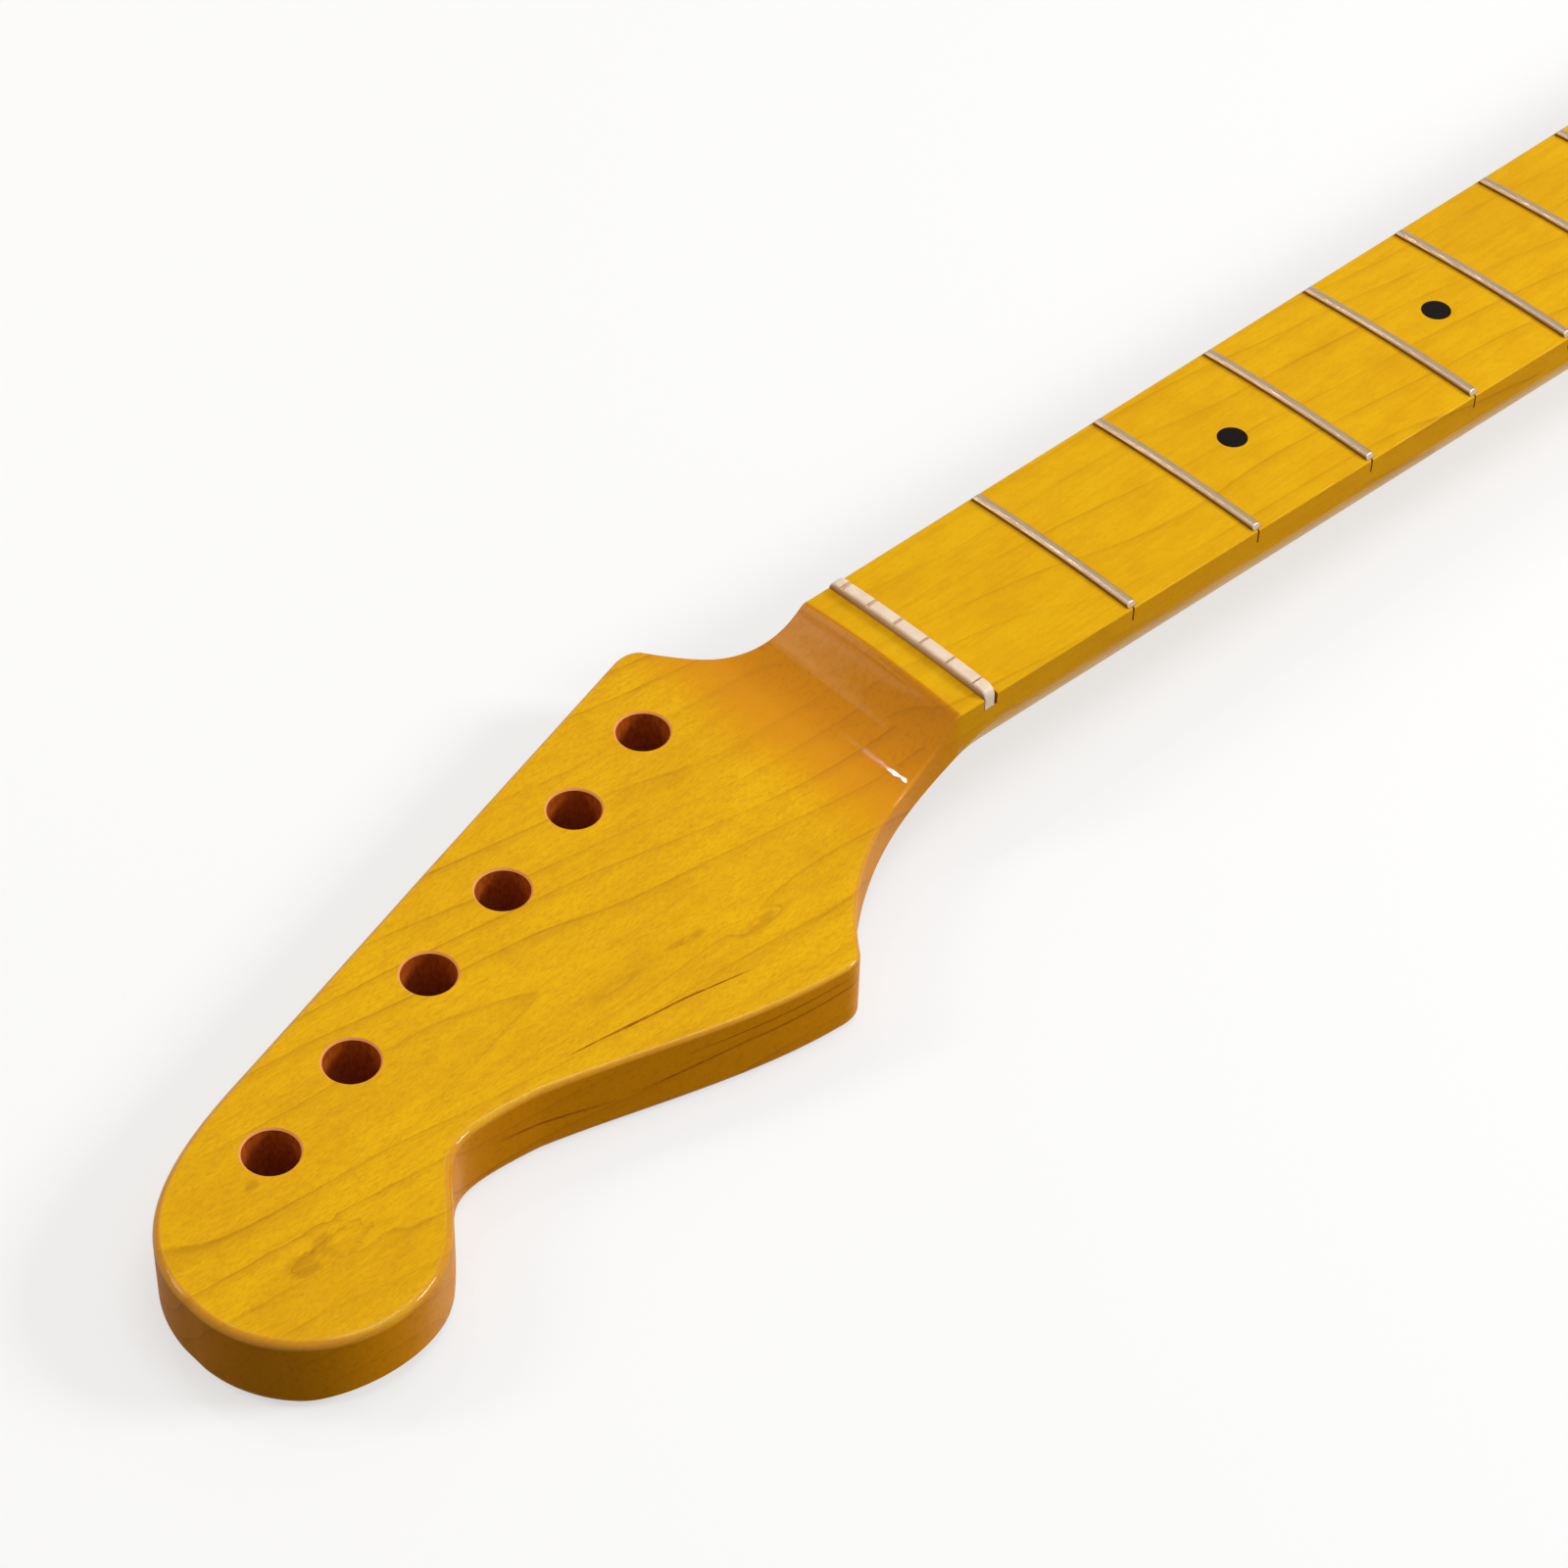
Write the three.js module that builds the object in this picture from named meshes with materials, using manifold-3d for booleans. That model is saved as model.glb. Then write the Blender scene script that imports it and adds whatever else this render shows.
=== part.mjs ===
// Bolt-on electric guitar neck for a left-handed player, in millimetres.
//
// Neck frame used below: x runs along the neck from the nut's front edge (0) towards the heel, y runs
// across towards the bass side (the side of the tuner row), z rises from the back of the head and heel (0)
// to the crown of the fingerboard. At the end the whole neck moves so that the centre of the heel's
// mounting face is the origin.
import * as THREE from "three";
import { mergeVertices } from "three/addons/utils/BufferGeometryUtils.js";
import Module from "manifold-3d";

// Scale and fret places
const SCALE_LENGTH = 647.7;
const FRET_COUNT = 21;
const NOTES_PER_OCTAVE = 12;
const DOUBLE_MARK_FRETS = [12];
const SINGLE_MARK_FRETS = [3, 5, 7, 9, 15, 17, 19, 21];

// Plan of the shaft
const NUT_END_WIDTH = 42;
const HEEL_END_WIDTH = 55.6;
const HEEL_PAST_LAST_FRET = 8.4;
const HEEL_CORNER_RADIUS = 4;
const HEEL_FLAT_LENGTH = 76;
const HEEL_RAMP_LENGTH = 34;

// Depths, all measured down from the fingerboard's crown
const HEEL_DEPTH = 25.4;
const SHAFT_DEPTH_AT_NUT = 21.4;
const SHAFT_DEPTH_AT_HEEL = 23.9;
const SHAFT_SIDE_DEPTH = 4.1;
const SHAFT_SIDE_SPARE = 0.3;
const SHAFT_ROUNDNESS = 2.1;
const HEEL_ROUNDNESS = 16;
const BACK_EDGE_RADIUS = 1.2;

// Fingerboard
const BOARD_THICKNESS = 6;
const BOARD_RADIUS = 406.4;
const SHELF_LENGTH = 9;
const FRET_SLOT_WIDTH = 0.6;
const FRET_SLOT_DEPTH = 3.8;

// Fret wire
const FRET_CROWN_WIDTH = 2.4;
const FRET_CROWN_HEIGHT = 1.05;
const FRET_TANG_WIDTH = 0.5;
const FRET_TANG_DEPTH = 1.9;
const FRET_END_INSET = 0.35;
const FRET_END_BEVEL = THREE.MathUtils.degToRad(32);
const FRET_SEAT_GAP = 0.05;
// Half of the crown's section: how far out, as shares of half its width, and how high, as shares of its
// height
const FRET_SECTION_SHARES = [
  [1, 0.22],
  [0.86, 0.6],
  [0.5, 0.91],
  [0, 1],
];

// String nut
const NUT_THICKNESS = 2.8;
const NUT_SEAT_DEPTH = 3.2;
const NUT_HEIGHT_ABOVE_BOARD = 1.8;
const NUT_END_RADIUS = 2;
const NUT_SEAT_GAP = 0.05;
const NUT_FRONT_GAP = 0.5;
const STRING_COUNT = 6;
const STRING_SPREAD = 35;
const STRING_SLOT_WIDTH_TREBLE = 0.4;
const STRING_SLOT_WIDTH_BASS = 1;
const STRING_SLOT_DEPTH = 0.4;

// Position marks
const MARK_RADIUS = 3.05;
const MARK_DEPTH = 2;
const DOUBLE_MARK_SPREAD = 28;
const SIDE_MARK_RADIUS = 1;
const SIDE_MARK_DEPTH = 3;
const SIDE_DOUBLE_MARK_SPREAD = 7;
const MARK_GAP = 0.05;

// Head
const HEAD_THICKNESS = 15.7;
const HEAD_FACE_EDGE_RADIUS = 1.2;
const HEAD_BACK_EDGE_RADIUS = 2;
const BASS_HORN_CORNER_LENGTH = 4;
const SCOOP_RADIUS = 24;
const FLARE_LENGTH_TREBLE = 63;
const FLARE_LENGTH_BASS = 40;
// Powers of the share along the flare by which the back widens and deepens
const FLARE_WIDENING_POWER = 2;
const FLARE_DEEPENING_POWER = 3.7;
const TUNER_COUNT = 6;
const TUNER_PITCH = 24;
const TUNER_HOLE_RADIUS = 5.1;
const TUNER_ROW_ANGLE = THREE.MathUtils.degToRad(17);
const FIRST_TUNER_BEHIND_NUT = 48.8;
const FIRST_TUNER_OFF_CENTRE = 21.9;
const TUNER_EDGE_MARGIN = 14.5;
const EDGE_BEFORE_FIRST_TUNER = 17;
const BALL_RADIUS = 24;
const BALL_PAST_LAST_TUNER = 6.2;
const BALL_BESIDE_LAST_TUNER = 17.6;
const BALL_START_ANGLE = THREE.MathUtils.degToRad(184);
const BALL_END_ANGLE = THREE.MathUtils.degToRad(312.5);

// Truss rod with an adjusting screw that turns in two blocks under a flat bar
const ROD_CHANNEL_WIDTH = 6.4;
const ROD_CHANNEL_DEPTH = 9.6;
const ROD_CHANNEL_BEHIND_NUT = 6;
const ROD_SCREW_RADIUS = 2.5;
const ROD_BAR_THICKNESS = 3;
const ROD_BAR_WIDTH = 6;
const ROD_BLOCK_LENGTH = 12;
const ROD_BLOCK_TOP_GAP = 0.2;
const ROD_SIDE_GAP = 0.2;
const ROD_RUNNING_GAP = 0.3;
const ADJUSTER_RADIUS = 4;
const ADJUSTER_LENGTH = 14;
const ADJUSTER_SET_BACK = 6.5;
const ADJUSTER_BORE_GAP = 0.8;
const ADJUSTER_SOCKET_WIDTH = 5;
const ADJUSTER_SOCKET_DEPTH = 8;

// Pilot holes for the four body screws
const SCREW_SPACING_ALONG = 50.8;
const SCREW_SPACING_ACROSS = 38.1;
const SCREW_PILOT_RADIUS = 1.6;
const SCREW_PILOT_DEPTH = 15;

// One overrun serves every cut. Outline points this near to a step of the scoop give way to it, and vertices
// this near to each other become one.
const OVERRUN = 5;
const CROSSING_SNAP = 0.5;
const VERTEX_SNAP = 0.0001;

// Facet counts
const ARC_STEPS = 18;
const CURVE_STEPS = 9;
const CORNER_STEPS = 3;
const EDGE_STEPS = 3;
const SCOOP_LOWER_STEPS = 4;
const SCOOP_UPPER_STEPS = 3;
const BACK_STEPS = 18;
const FRET_STEPS = 8;
const CROWN_STEPS = 16;
const HOLE_SIDES = 24;
const SMALL_HOLE_SIDES = 12;
const HEX_SIDES = 6;

// Sizes worked out from the ones above
const fretDistance = (n) => SCALE_LENGTH * (1 - 2 ** (-n / NOTES_PER_OCTAVE));
const HEEL_END = fretDistance(FRET_COUNT) + HEEL_PAST_LAST_FRET;
const WIDTH_GROWTH = (HEEL_END_WIDTH - NUT_END_WIDTH) / 2 / HEEL_END;
const halfWidth = (x) => NUT_END_WIDTH / 2 + WIDTH_GROWTH * x;
const crownDrop = (y) => BOARD_RADIUS - Math.sqrt(BOARD_RADIUS ** 2 - y ** 2);
const CROWN_Z = HEEL_DEPTH;
const BOARD_UNDERSIDE_Z = CROWN_Z - BOARD_THICKNESS;
const HEEL_CENTRE_X = HEEL_END - HEEL_FLAT_LENGTH / 2;
const FIRST_TUNER = new THREE.Vector2(-FIRST_TUNER_BEHIND_NUT, FIRST_TUNER_OFF_CENTRE);
const ROW_DIRECTION = new THREE.Vector2(-Math.cos(TUNER_ROW_ANGLE), -Math.sin(TUNER_ROW_ANGLE));
const ROW_OUTWARD = new THREE.Vector2(ROW_DIRECTION.y, -ROW_DIRECTION.x);
const rowPoint = (along, outward) =>
  FIRST_TUNER.clone().addScaledVector(ROW_DIRECTION, along).addScaledVector(ROW_OUTWARD, outward);
const ROW_LENGTH = (TUNER_COUNT - 1) * TUNER_PITCH;
const LAST_TUNER = rowPoint(ROW_LENGTH, 0);
const BALL_CENTRE = new THREE.Vector2(
  LAST_TUNER.x - BALL_PAST_LAST_TUNER,
  LAST_TUNER.y - BALL_BESIDE_LAST_TUNER,
);
const HEAD_LENGTH = BALL_RADIUS - BALL_CENTRE.x;
const HEAD_REACH = BALL_RADIUS - BALL_CENTRE.y;
const SCOOP_DROP = CROWN_Z - HEAD_THICKNESS;
const scoopLength = (rise) => Math.sqrt(SCOOP_RADIUS ** 2 - (SCOOP_RADIUS - rise) ** 2);
const SCOOP_FOOT_X = -SHELF_LENGTH - scoopLength(SCOOP_DROP);

// Points of the head's treble side: shares of the head's length behind the nut and of its treble reach
const THROAT_SHARES = { first: [0.722, 0.63], second: [0.75, 0.537], to: [0.625, 0.601] };
const LONG_EDGE_SHARES = { first: [0.537, 0.675], second: [0.433, 0.83], to: [0.327, 0.858] };
const TREBLE_HORN_SHARES = { tip: [0.304, 0.868], to: [0.296, 0.826] };
const TREBLE_FLARE_SHARES = { first: [0.253, 0.613], second: [0.17, 0.381], to: 0.052 };
// Points of the bass flare: shares of the head's length and of the reach of the bass horn's corner
const BASS_FLARE_SHARES = { from: 0.041, first: [0.114, 0.528], second: [0.15, 0.76], to: [0.178, 0.952] };
// How far the tip's curve pulls from the straight edge and from the ball, as shares of the ball's radius
const TIP_EDGE_PULL_SHARE = 1.06;
const TIP_BALL_PULL_SHARE = 0.756;
const TIP_START_BEFORE_LAST_TUNER_SHARE = 0.36;
const INSET_CORNER_SHARE = 0.5;

const wasm = await Module();
wasm.setup();

// A closed geometry as a solid that can be joined and cut.
function toSolid(geometry) {
  const bare = geometry.index ? geometry.toNonIndexed() : geometry.clone();
  bare.deleteAttribute("normal");
  bare.deleteAttribute("uv");
  const merged = mergeVertices(bare, VERTEX_SNAP);
  const kept = [];
  const index = merged.index.array;
  for (let i = 0; i < index.length; i += 3) {
    const [a, b, c] = [index[i], index[i + 1], index[i + 2]];
    if (a !== b && b !== c && c !== a) kept.push(a, b, c);
  }
  const mesh = new wasm.Mesh({
    numProp: 3,
    vertProperties: new Float32Array(merged.attributes.position.array),
    triVerts: new Uint32Array(kept),
  });
  return new wasm.Manifold(mesh);
}

// The solid's faces as a geometry.
function toGeometry(solid) {
  const mesh = solid.getMesh();
  const positions = new Float32Array(mesh.numVert * 3);
  for (let i = 0; i < mesh.numVert; i++) {
    positions.set(mesh.vertProperties.subarray(i * mesh.numProp, i * mesh.numProp + 3), i * 3);
  }
  const geometry = new THREE.BufferGeometry();
  geometry.setAttribute("position", new THREE.BufferAttribute(positions, 3));
  geometry.setIndex(new THREE.BufferAttribute(new Uint32Array(mesh.triVerts), 1));
  const flat = geometry.toNonIndexed();
  flat.computeVertexNormals();
  return flat;
}

// A box between two corners.
function boxBetween(low, high) {
  const size = new THREE.Vector3().subVectors(high, low);
  const middle = new THREE.Vector3().addVectors(low, high).multiplyScalar(0.5);
  const geometry = new THREE.BoxGeometry(size.x, size.y, size.z);
  return toSolid(geometry.translate(middle.x, middle.y, middle.z));
}

// A round or many-sided bar from one point along an axis: "x", "y" or "z".
function bar(axis, start, length, radius, sides) {
  const geometry = new THREE.CylinderGeometry(radius, radius, length, sides);
  const reach = new THREE.Vector3();
  reach[axis] = length / 2;
  if (axis === "x") geometry.rotateZ(-Math.PI / 2);
  if (axis === "z") geometry.rotateX(Math.PI / 2);
  const middle = start.clone().add(reach);
  return toSolid(geometry.translate(middle.x, middle.y, middle.z));
}

// Closed skin over rings of points, each ring with as many points, anticlockwise seen from the last ring.
// The last cap may be given in parts, each a list of point numbers.
function skinOverRings(rings, lastCapParts) {
  const count = rings[0].length;
  const positions = rings.flat().flatMap((p) => [p.x, p.y, p.z]);
  const index = [];
  for (let r = 0; r + 1 < rings.length; r++) {
    for (let i = 0; i < count; i++) {
      const next = (i + 1) % count;
      const [a, b] = [r * count + i, r * count + next];
      const [c, d] = [a + count, b + count];
      index.push(a, b, d, a, d, c);
    }
  }
  const acrossNeck = rings[0].every((p) => p.x === rings[0][0].x);
  const flat = (p) => (acrossNeck ? new THREE.Vector2(p.y, p.z) : new THREE.Vector2(p.x, p.y));
  const last = (rings.length - 1) * count;
  const whole = rings[0].map((_, i) => i);
  for (const [a, b, c] of THREE.ShapeUtils.triangulateShape(rings[0].map(flat), [])) index.push(a, c, b);
  for (const part of lastCapParts || [whole]) {
    const corners = part.map((i) => flat(rings.at(-1)[i]));
    for (const [a, b, c] of THREE.ShapeUtils.triangulateShape(corners, [])) {
      index.push(last + part[a], last + part[b], last + part[c]);
    }
  }
  const geometry = new THREE.BufferGeometry();
  geometry.setAttribute("position", new THREE.Float32BufferAttribute(positions, 3));
  geometry.setIndex(index);
  return toSolid(geometry);
}

// Plan outline of all the wood, anticlockwise from the heel's treble corner.
function planOutline() {
  const head = ([along, across]) => [-along * HEAD_LENGTH, -across * HEAD_REACH];
  const hornCorner = rowPoint(-EDGE_BEFORE_FIRST_TUNER, TUNER_EDGE_MARGIN);
  const bass = ([along, across]) => [-along * HEAD_LENGTH, across * hornCorner.y];
  const path = new THREE.Path();
  const heelHalf = HEEL_END_WIDTH / 2;
  const cornerX = HEEL_END - HEEL_CORNER_RADIUS;
  const cornerY = heelHalf - HEEL_CORNER_RADIUS;
  const curve = (steps, draw) => {
    const part = new THREE.Path();
    const from = path.currentPoint.clone();
    part.moveTo(from.x, from.y);
    draw(part);
    part
      .getPoints(steps)
      .slice(1)
      .forEach((p) => path.lineTo(p.x, p.y));
  };
  path.moveTo(cornerX, -heelHalf);
  curve(CORNER_STEPS, (p) => p.absarc(cornerX, -cornerY, HEEL_CORNER_RADIUS, -Math.PI / 2, 0));
  path.lineTo(HEEL_END, cornerY);
  curve(CORNER_STEPS, (p) => p.absarc(cornerX, cornerY, HEEL_CORNER_RADIUS, 0, Math.PI / 2));

  const flareX = -BASS_FLARE_SHARES.from * HEAD_LENGTH;
  path.lineTo(flareX, halfWidth(flareX));
  curve(CURVE_STEPS, (p) =>
    p.bezierCurveTo(
      ...bass(BASS_FLARE_SHARES.first),
      ...bass(BASS_FLARE_SHARES.second),
      ...bass(BASS_FLARE_SHARES.to),
    ),
  );
  const edgeStart = rowPoint(BASS_HORN_CORNER_LENGTH - EDGE_BEFORE_FIRST_TUNER, TUNER_EDGE_MARGIN);
  curve(CORNER_STEPS, (p) => p.quadraticCurveTo(hornCorner.x, hornCorner.y, edgeStart.x, edgeStart.y));

  const tipStart = rowPoint(ROW_LENGTH - TIP_START_BEFORE_LAST_TUNER_SHARE * BALL_RADIUS, TUNER_EDGE_MARGIN);
  path.lineTo(tipStart.x, tipStart.y);
  const onBall = (angle) =>
    new THREE.Vector2(Math.cos(angle), Math.sin(angle)).multiplyScalar(BALL_RADIUS).add(BALL_CENTRE);
  const ballStart = onBall(BALL_START_ANGLE);
  const tipPull = tipStart.clone().addScaledVector(ROW_DIRECTION, TIP_EDGE_PULL_SHARE * BALL_RADIUS);
  const ballTangent = new THREE.Vector2(Math.sin(BALL_START_ANGLE), -Math.cos(BALL_START_ANGLE));
  const ballPull = ballStart.clone().addScaledVector(ballTangent, TIP_BALL_PULL_SHARE * BALL_RADIUS);
  curve(CURVE_STEPS, (p) =>
    p.bezierCurveTo(tipPull.x, tipPull.y, ballPull.x, ballPull.y, ballStart.x, ballStart.y),
  );
  curve(ARC_STEPS, (p) =>
    p.absarc(BALL_CENTRE.x, BALL_CENTRE.y, BALL_RADIUS, BALL_START_ANGLE, BALL_END_ANGLE),
  );
  curve(CURVE_STEPS, (p) =>
    p.bezierCurveTo(...head(THROAT_SHARES.first), ...head(THROAT_SHARES.second), ...head(THROAT_SHARES.to)),
  );
  curve(CURVE_STEPS, (p) =>
    p.bezierCurveTo(
      ...head(LONG_EDGE_SHARES.first),
      ...head(LONG_EDGE_SHARES.second),
      ...head(LONG_EDGE_SHARES.to),
    ),
  );
  curve(CORNER_STEPS, (p) =>
    p.quadraticCurveTo(...head(TREBLE_HORN_SHARES.tip), ...head(TREBLE_HORN_SHARES.to)),
  );
  const trebleX = -TREBLE_FLARE_SHARES.to * HEAD_LENGTH;
  curve(CURVE_STEPS, (p) =>
    p.bezierCurveTo(
      ...head(TREBLE_FLARE_SHARES.first),
      ...head(TREBLE_FLARE_SHARES.second),
      trebleX,
      -halfWidth(trebleX),
    ),
  );
  return path.getPoints(1);
}

// The outline moved inwards by a distance that may change along the neck. A corner's point moves further,
// up to the distance over the corner share.
function insetOutline(outline, distance) {
  const count = outline.length;
  return outline.map((p, i) => {
    const before = new THREE.Vector2().subVectors(p, outline[(i + count - 1) % count]).normalize();
    const after = new THREE.Vector2().subVectors(outline[(i + 1) % count], p).normalize();
    const inward = new THREE.Vector2(-before.y - after.y, before.x + after.x).normalize();
    const stretch = Math.max(INSET_CORNER_SHARE, inward.x * -after.y + inward.y * after.x);
    return p.clone().addScaledVector(inward, distance(p.x) / stretch);
  });
}

// The scoop's arc from its foot on the head to the fingerboard's shelf, as heights above the head's face. It
// goes in straight steps, first below the fingerboard's underside and then above it.
function scoopProfile() {
  const seatRise = BOARD_UNDERSIDE_Z - HEAD_THICKNESS;
  const points = [];
  const arc = (fromX, toX, steps, first) => {
    for (let i = first; i <= steps; i++) {
      const x = fromX + ((toX - fromX) * i) / steps;
      const run = x - SCOOP_FOOT_X;
      points.push(new THREE.Vector2(x, SCOOP_RADIUS - Math.sqrt(SCOOP_RADIUS ** 2 - run ** 2)));
    }
  };
  const seatX = SCOOP_FOOT_X + scoopLength(seatRise);
  arc(SCOOP_FOOT_X, seatX, SCOOP_LOWER_STEPS, 0);
  arc(seatX, -SHELF_LENGTH, SCOOP_UPPER_STEPS, 1);
  return { points, seatX };
}

// Height of the wood's upper side above the head's face at a place along the neck.
function riseAt(x, lower) {
  if (x <= lower[0].x) return 0;
  const next = lower.findIndex((p) => x <= p.x);
  if (next < 0) return lower.at(-1).y;
  const [a, b] = [lower[next - 1], lower[next]];
  return a.y + ((b.y - a.y) * (x - a.x)) / (b.x - a.x);
}

// The outline with a point wherever it crosses one of the given places along the neck, and those points'
// numbers, the bass side's first.
function outlineWithCrossings(outline, places) {
  const points = [];
  const crossings = places.map(() => []);
  outline.forEach((p, i) => {
    const q = outline[(i + 1) % outline.length];
    if (places.every((x) => Math.abs(p.x - x) > CROSSING_SNAP)) points.push(p);
    const crossed = places.map((x, k) => ({ x, k })).filter(({ x }) => (p.x - x) * (q.x - x) < 0);
    crossed.sort((a, b) => Math.abs(a.x - p.x) - Math.abs(b.x - p.x));
    for (const { x, k } of crossed) {
      crossings[k].push(points.length);
      points.push(new THREE.Vector2().lerpVectors(p, q, (x - p.x) / (q.x - p.x)));
    }
  });
  return { points, crossings };
}

// The wood from tip to heel with rounded head edges, its upper side raised along the scoop, before its back
// is shaped. The rounding fades out on the way up the scoop.
function plankWithScoop(outline, scoop) {
  const lower = scoop.points.slice(0, SCOOP_LOWER_STEPS + 1);
  const { points, crossings } = outlineWithCrossings(
    outline,
    lower.map((p) => p.x),
  );
  const fade = (x) => THREE.MathUtils.clamp((scoop.seatX - x) / (scoop.seatX - SCOOP_FOOT_X), 0, 1);
  const topRadius = (x) => HEAD_FACE_EDGE_RADIUS * fade(x);
  const backRadius = (x) => (x < 0 ? HEAD_BACK_EDGE_RADIUS : BACK_EDGE_RADIUS);
  const ringAt = (step, radius, heightAt, way) => {
    const turn = ((step / EDGE_STEPS) * Math.PI) / 2;
    const inset = insetOutline(points, (x) => radius(x) * (1 - Math.cos(turn)));
    return inset.map(
      (p, i) => new THREE.Vector3(p.x, p.y, heightAt(p.x) + way * radius(points[i].x) * (1 - Math.sin(turn))),
    );
  };
  const rings = [];
  for (let k = EDGE_STEPS; k >= 0; k--) rings.push(ringAt(k, backRadius, () => 0, 1));
  const topHeight = (x) => HEAD_THICKNESS + riseAt(x, lower);
  for (let k = 0; k <= EDGE_STEPS; k++) rings.push(ringAt(k, topRadius, topHeight, -1));

  // The upper cap is a strip for each step of the scoop, between one part for the head and one for the shaft.
  const count = points.length;
  const walk = (from, to) => {
    const numbers = [from];
    for (let i = from; i !== to; i = (i + 1) % count) numbers.push((i + 1) % count);
    return numbers;
  };
  const strips = [walk(...crossings[0]), walk(crossings.at(-1)[1], crossings.at(-1)[0])];
  for (let k = 0; k + 1 < crossings.length; k++) {
    const [bassFar, trebleFar] = crossings[k];
    const [bassNear, trebleNear] = crossings[k + 1];
    strips.push([...walk(bassNear, bassFar), ...walk(trebleFar, trebleNear)]);
  }
  return skinOverRings(rings, strips);
}

// The space that the neck's back may fill: a rounded shaft that squares up at the heel, and that spreads at
// the head over a longer flare on the treble side than on the bass side.
function backSpace() {
  const rampEnd = HEEL_END - HEEL_FLAT_LENGTH;
  const rampStart = rampEnd - HEEL_RAMP_LENGTH;
  const shaftDepthAt = (x) => THREE.MathUtils.lerp(SHAFT_DEPTH_AT_NUT, SHAFT_DEPTH_AT_HEEL, x / HEEL_END);
  const sideZ = CROWN_Z - SHAFT_SIDE_DEPTH;
  const deep = HEEL_DEPTH + OVERRUN;
  const section = (x) => {
    const squareness = THREE.MathUtils.smoothstep(x, rampStart, rampEnd);
    const power = 2 / THREE.MathUtils.lerp(SHAFT_ROUNDNESS, HEEL_ROUNDNESS, squareness);
    const ring = [];
    for (let i = 0; i <= BACK_STEPS; i++) {
      const turn = (Math.PI * i) / BACK_STEPS;
      const acrossShare = THREE.MathUtils.smoothstep(i / BACK_STEPS, 0, 1);
      const flareLength = THREE.MathUtils.lerp(FLARE_LENGTH_TREBLE, FLARE_LENGTH_BASS, acrossShare);
      const spread = THREE.MathUtils.clamp(-x / flareLength, 0, 1);
      const widening = HEAD_REACH * spread ** FLARE_WIDENING_POWER + OVERRUN * squareness ** 2;
      const deepening = (deep - shaftDepthAt(x)) * (spread ** FLARE_DEEPENING_POWER + squareness);
      const half = halfWidth(x) + SHAFT_SIDE_SPARE + widening;
      const across = Math.sign(Math.cos(turn)) * Math.abs(Math.cos(turn)) ** power;
      const down = (shaftDepthAt(x) + deepening - SHAFT_SIDE_DEPTH) * Math.sin(turn) ** power;
      ring.push(new THREE.Vector3(x, -half * across, sideZ - down));
    }
    ring.push(new THREE.Vector3(x, ring.at(-1).y, CROWN_Z + OVERRUN));
    ring.push(new THREE.Vector3(x, ring[0].y, CROWN_Z + OVERRUN));
    return ring;
  };
  // The flare's sections lie closer together towards the nut.
  const stations = [-HEAD_LENGTH - OVERRUN];
  for (let i = CURVE_STEPS; i >= 0; i--) stations.push(-FLARE_LENGTH_TREBLE * (i / CURVE_STEPS) ** 2);
  for (let i = 0; i <= CURVE_STEPS; i++) stations.push(rampStart + (HEEL_RAMP_LENGTH * i) / CURVE_STEPS);
  stations.push(HEEL_END + OVERRUN);
  return skinOverRings(stations.map(section));
}

// A prism over a plan outline.
function planPrism(outline, lowZ, highZ) {
  const ring = (z) => outline.map((p) => new THREE.Vector3(p.x, p.y, z));
  return skinOverRings([ring(lowZ), ring(highZ)]);
}

// The space under the fingerboard's rounded top.
function crownSpace() {
  const reach = HEEL_END_WIDTH / 2 + OVERRUN;
  const top = [];
  for (let i = 0; i <= CROWN_STEPS; i++) {
    const y = reach - (2 * reach * i) / CROWN_STEPS;
    top.push({ y, z: CROWN_Z - crownDrop(y) });
  }
  const ring = (x) => [
    new THREE.Vector3(x, -reach, 0),
    new THREE.Vector3(x, reach, 0),
    ...top.map((p) => new THREE.Vector3(x, p.y, p.z)),
  ];
  return skinOverRings([ring(-HEAD_LENGTH), ring(HEEL_END + OVERRUN)]);
}

// Everything above the scoop's arc, to be cut from the fingerboard's end.
function scoopCutter(scoop) {
  const reach = HEAD_REACH + OVERRUN;
  const profile = scoop.points.map((p) => [p.x, HEAD_THICKNESS + p.y]);
  const top = CROWN_Z + OVERRUN;
  const closed = [...profile, [-SHELF_LENGTH, top], [-HEAD_LENGTH, top], [-HEAD_LENGTH, HEAD_THICKNESS]];
  const shape = new THREE.Shape(closed.map(([x, z]) => new THREE.Vector2(x, z)));
  const geometry = new THREE.ExtrudeGeometry(shape, { depth: 2 * reach, bevelEnabled: false });
  geometry.rotateX(Math.PI / 2);
  geometry.translate(0, reach, 0);
  return toSolid(geometry);
}

// Places of the tuner posts' holes, and of the four screws.
const tunerPlaces = () => Array.from({ length: TUNER_COUNT }, (_, i) => rowPoint(i * TUNER_PITCH, 0));
const screwPlaces = () =>
  [-1, 1].flatMap((a) =>
    [-1, 1].map(
      (b) =>
        new THREE.Vector2(HEEL_CENTRE_X + (a * SCREW_SPACING_ALONG) / 2, (b * SCREW_SPACING_ACROSS) / 2),
    ),
  );

// Heights and places of the truss rod
const ROD_FLOOR_Z = BOARD_UNDERSIDE_Z - ROD_CHANNEL_DEPTH;
const ROD_AXIS_Z = ROD_FLOOR_Z + ROD_SCREW_RADIUS + ROD_RUNNING_GAP;
const ROD_START_X = ROD_CHANNEL_BEHIND_NUT;
const ADJUSTER_END_X = HEEL_END - ADJUSTER_SET_BACK;
const ADJUSTER_START_X = ADJUSTER_END_X - ADJUSTER_LENGTH;
const ROD_END_X = ADJUSTER_START_X - ROD_RUNNING_GAP;

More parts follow.
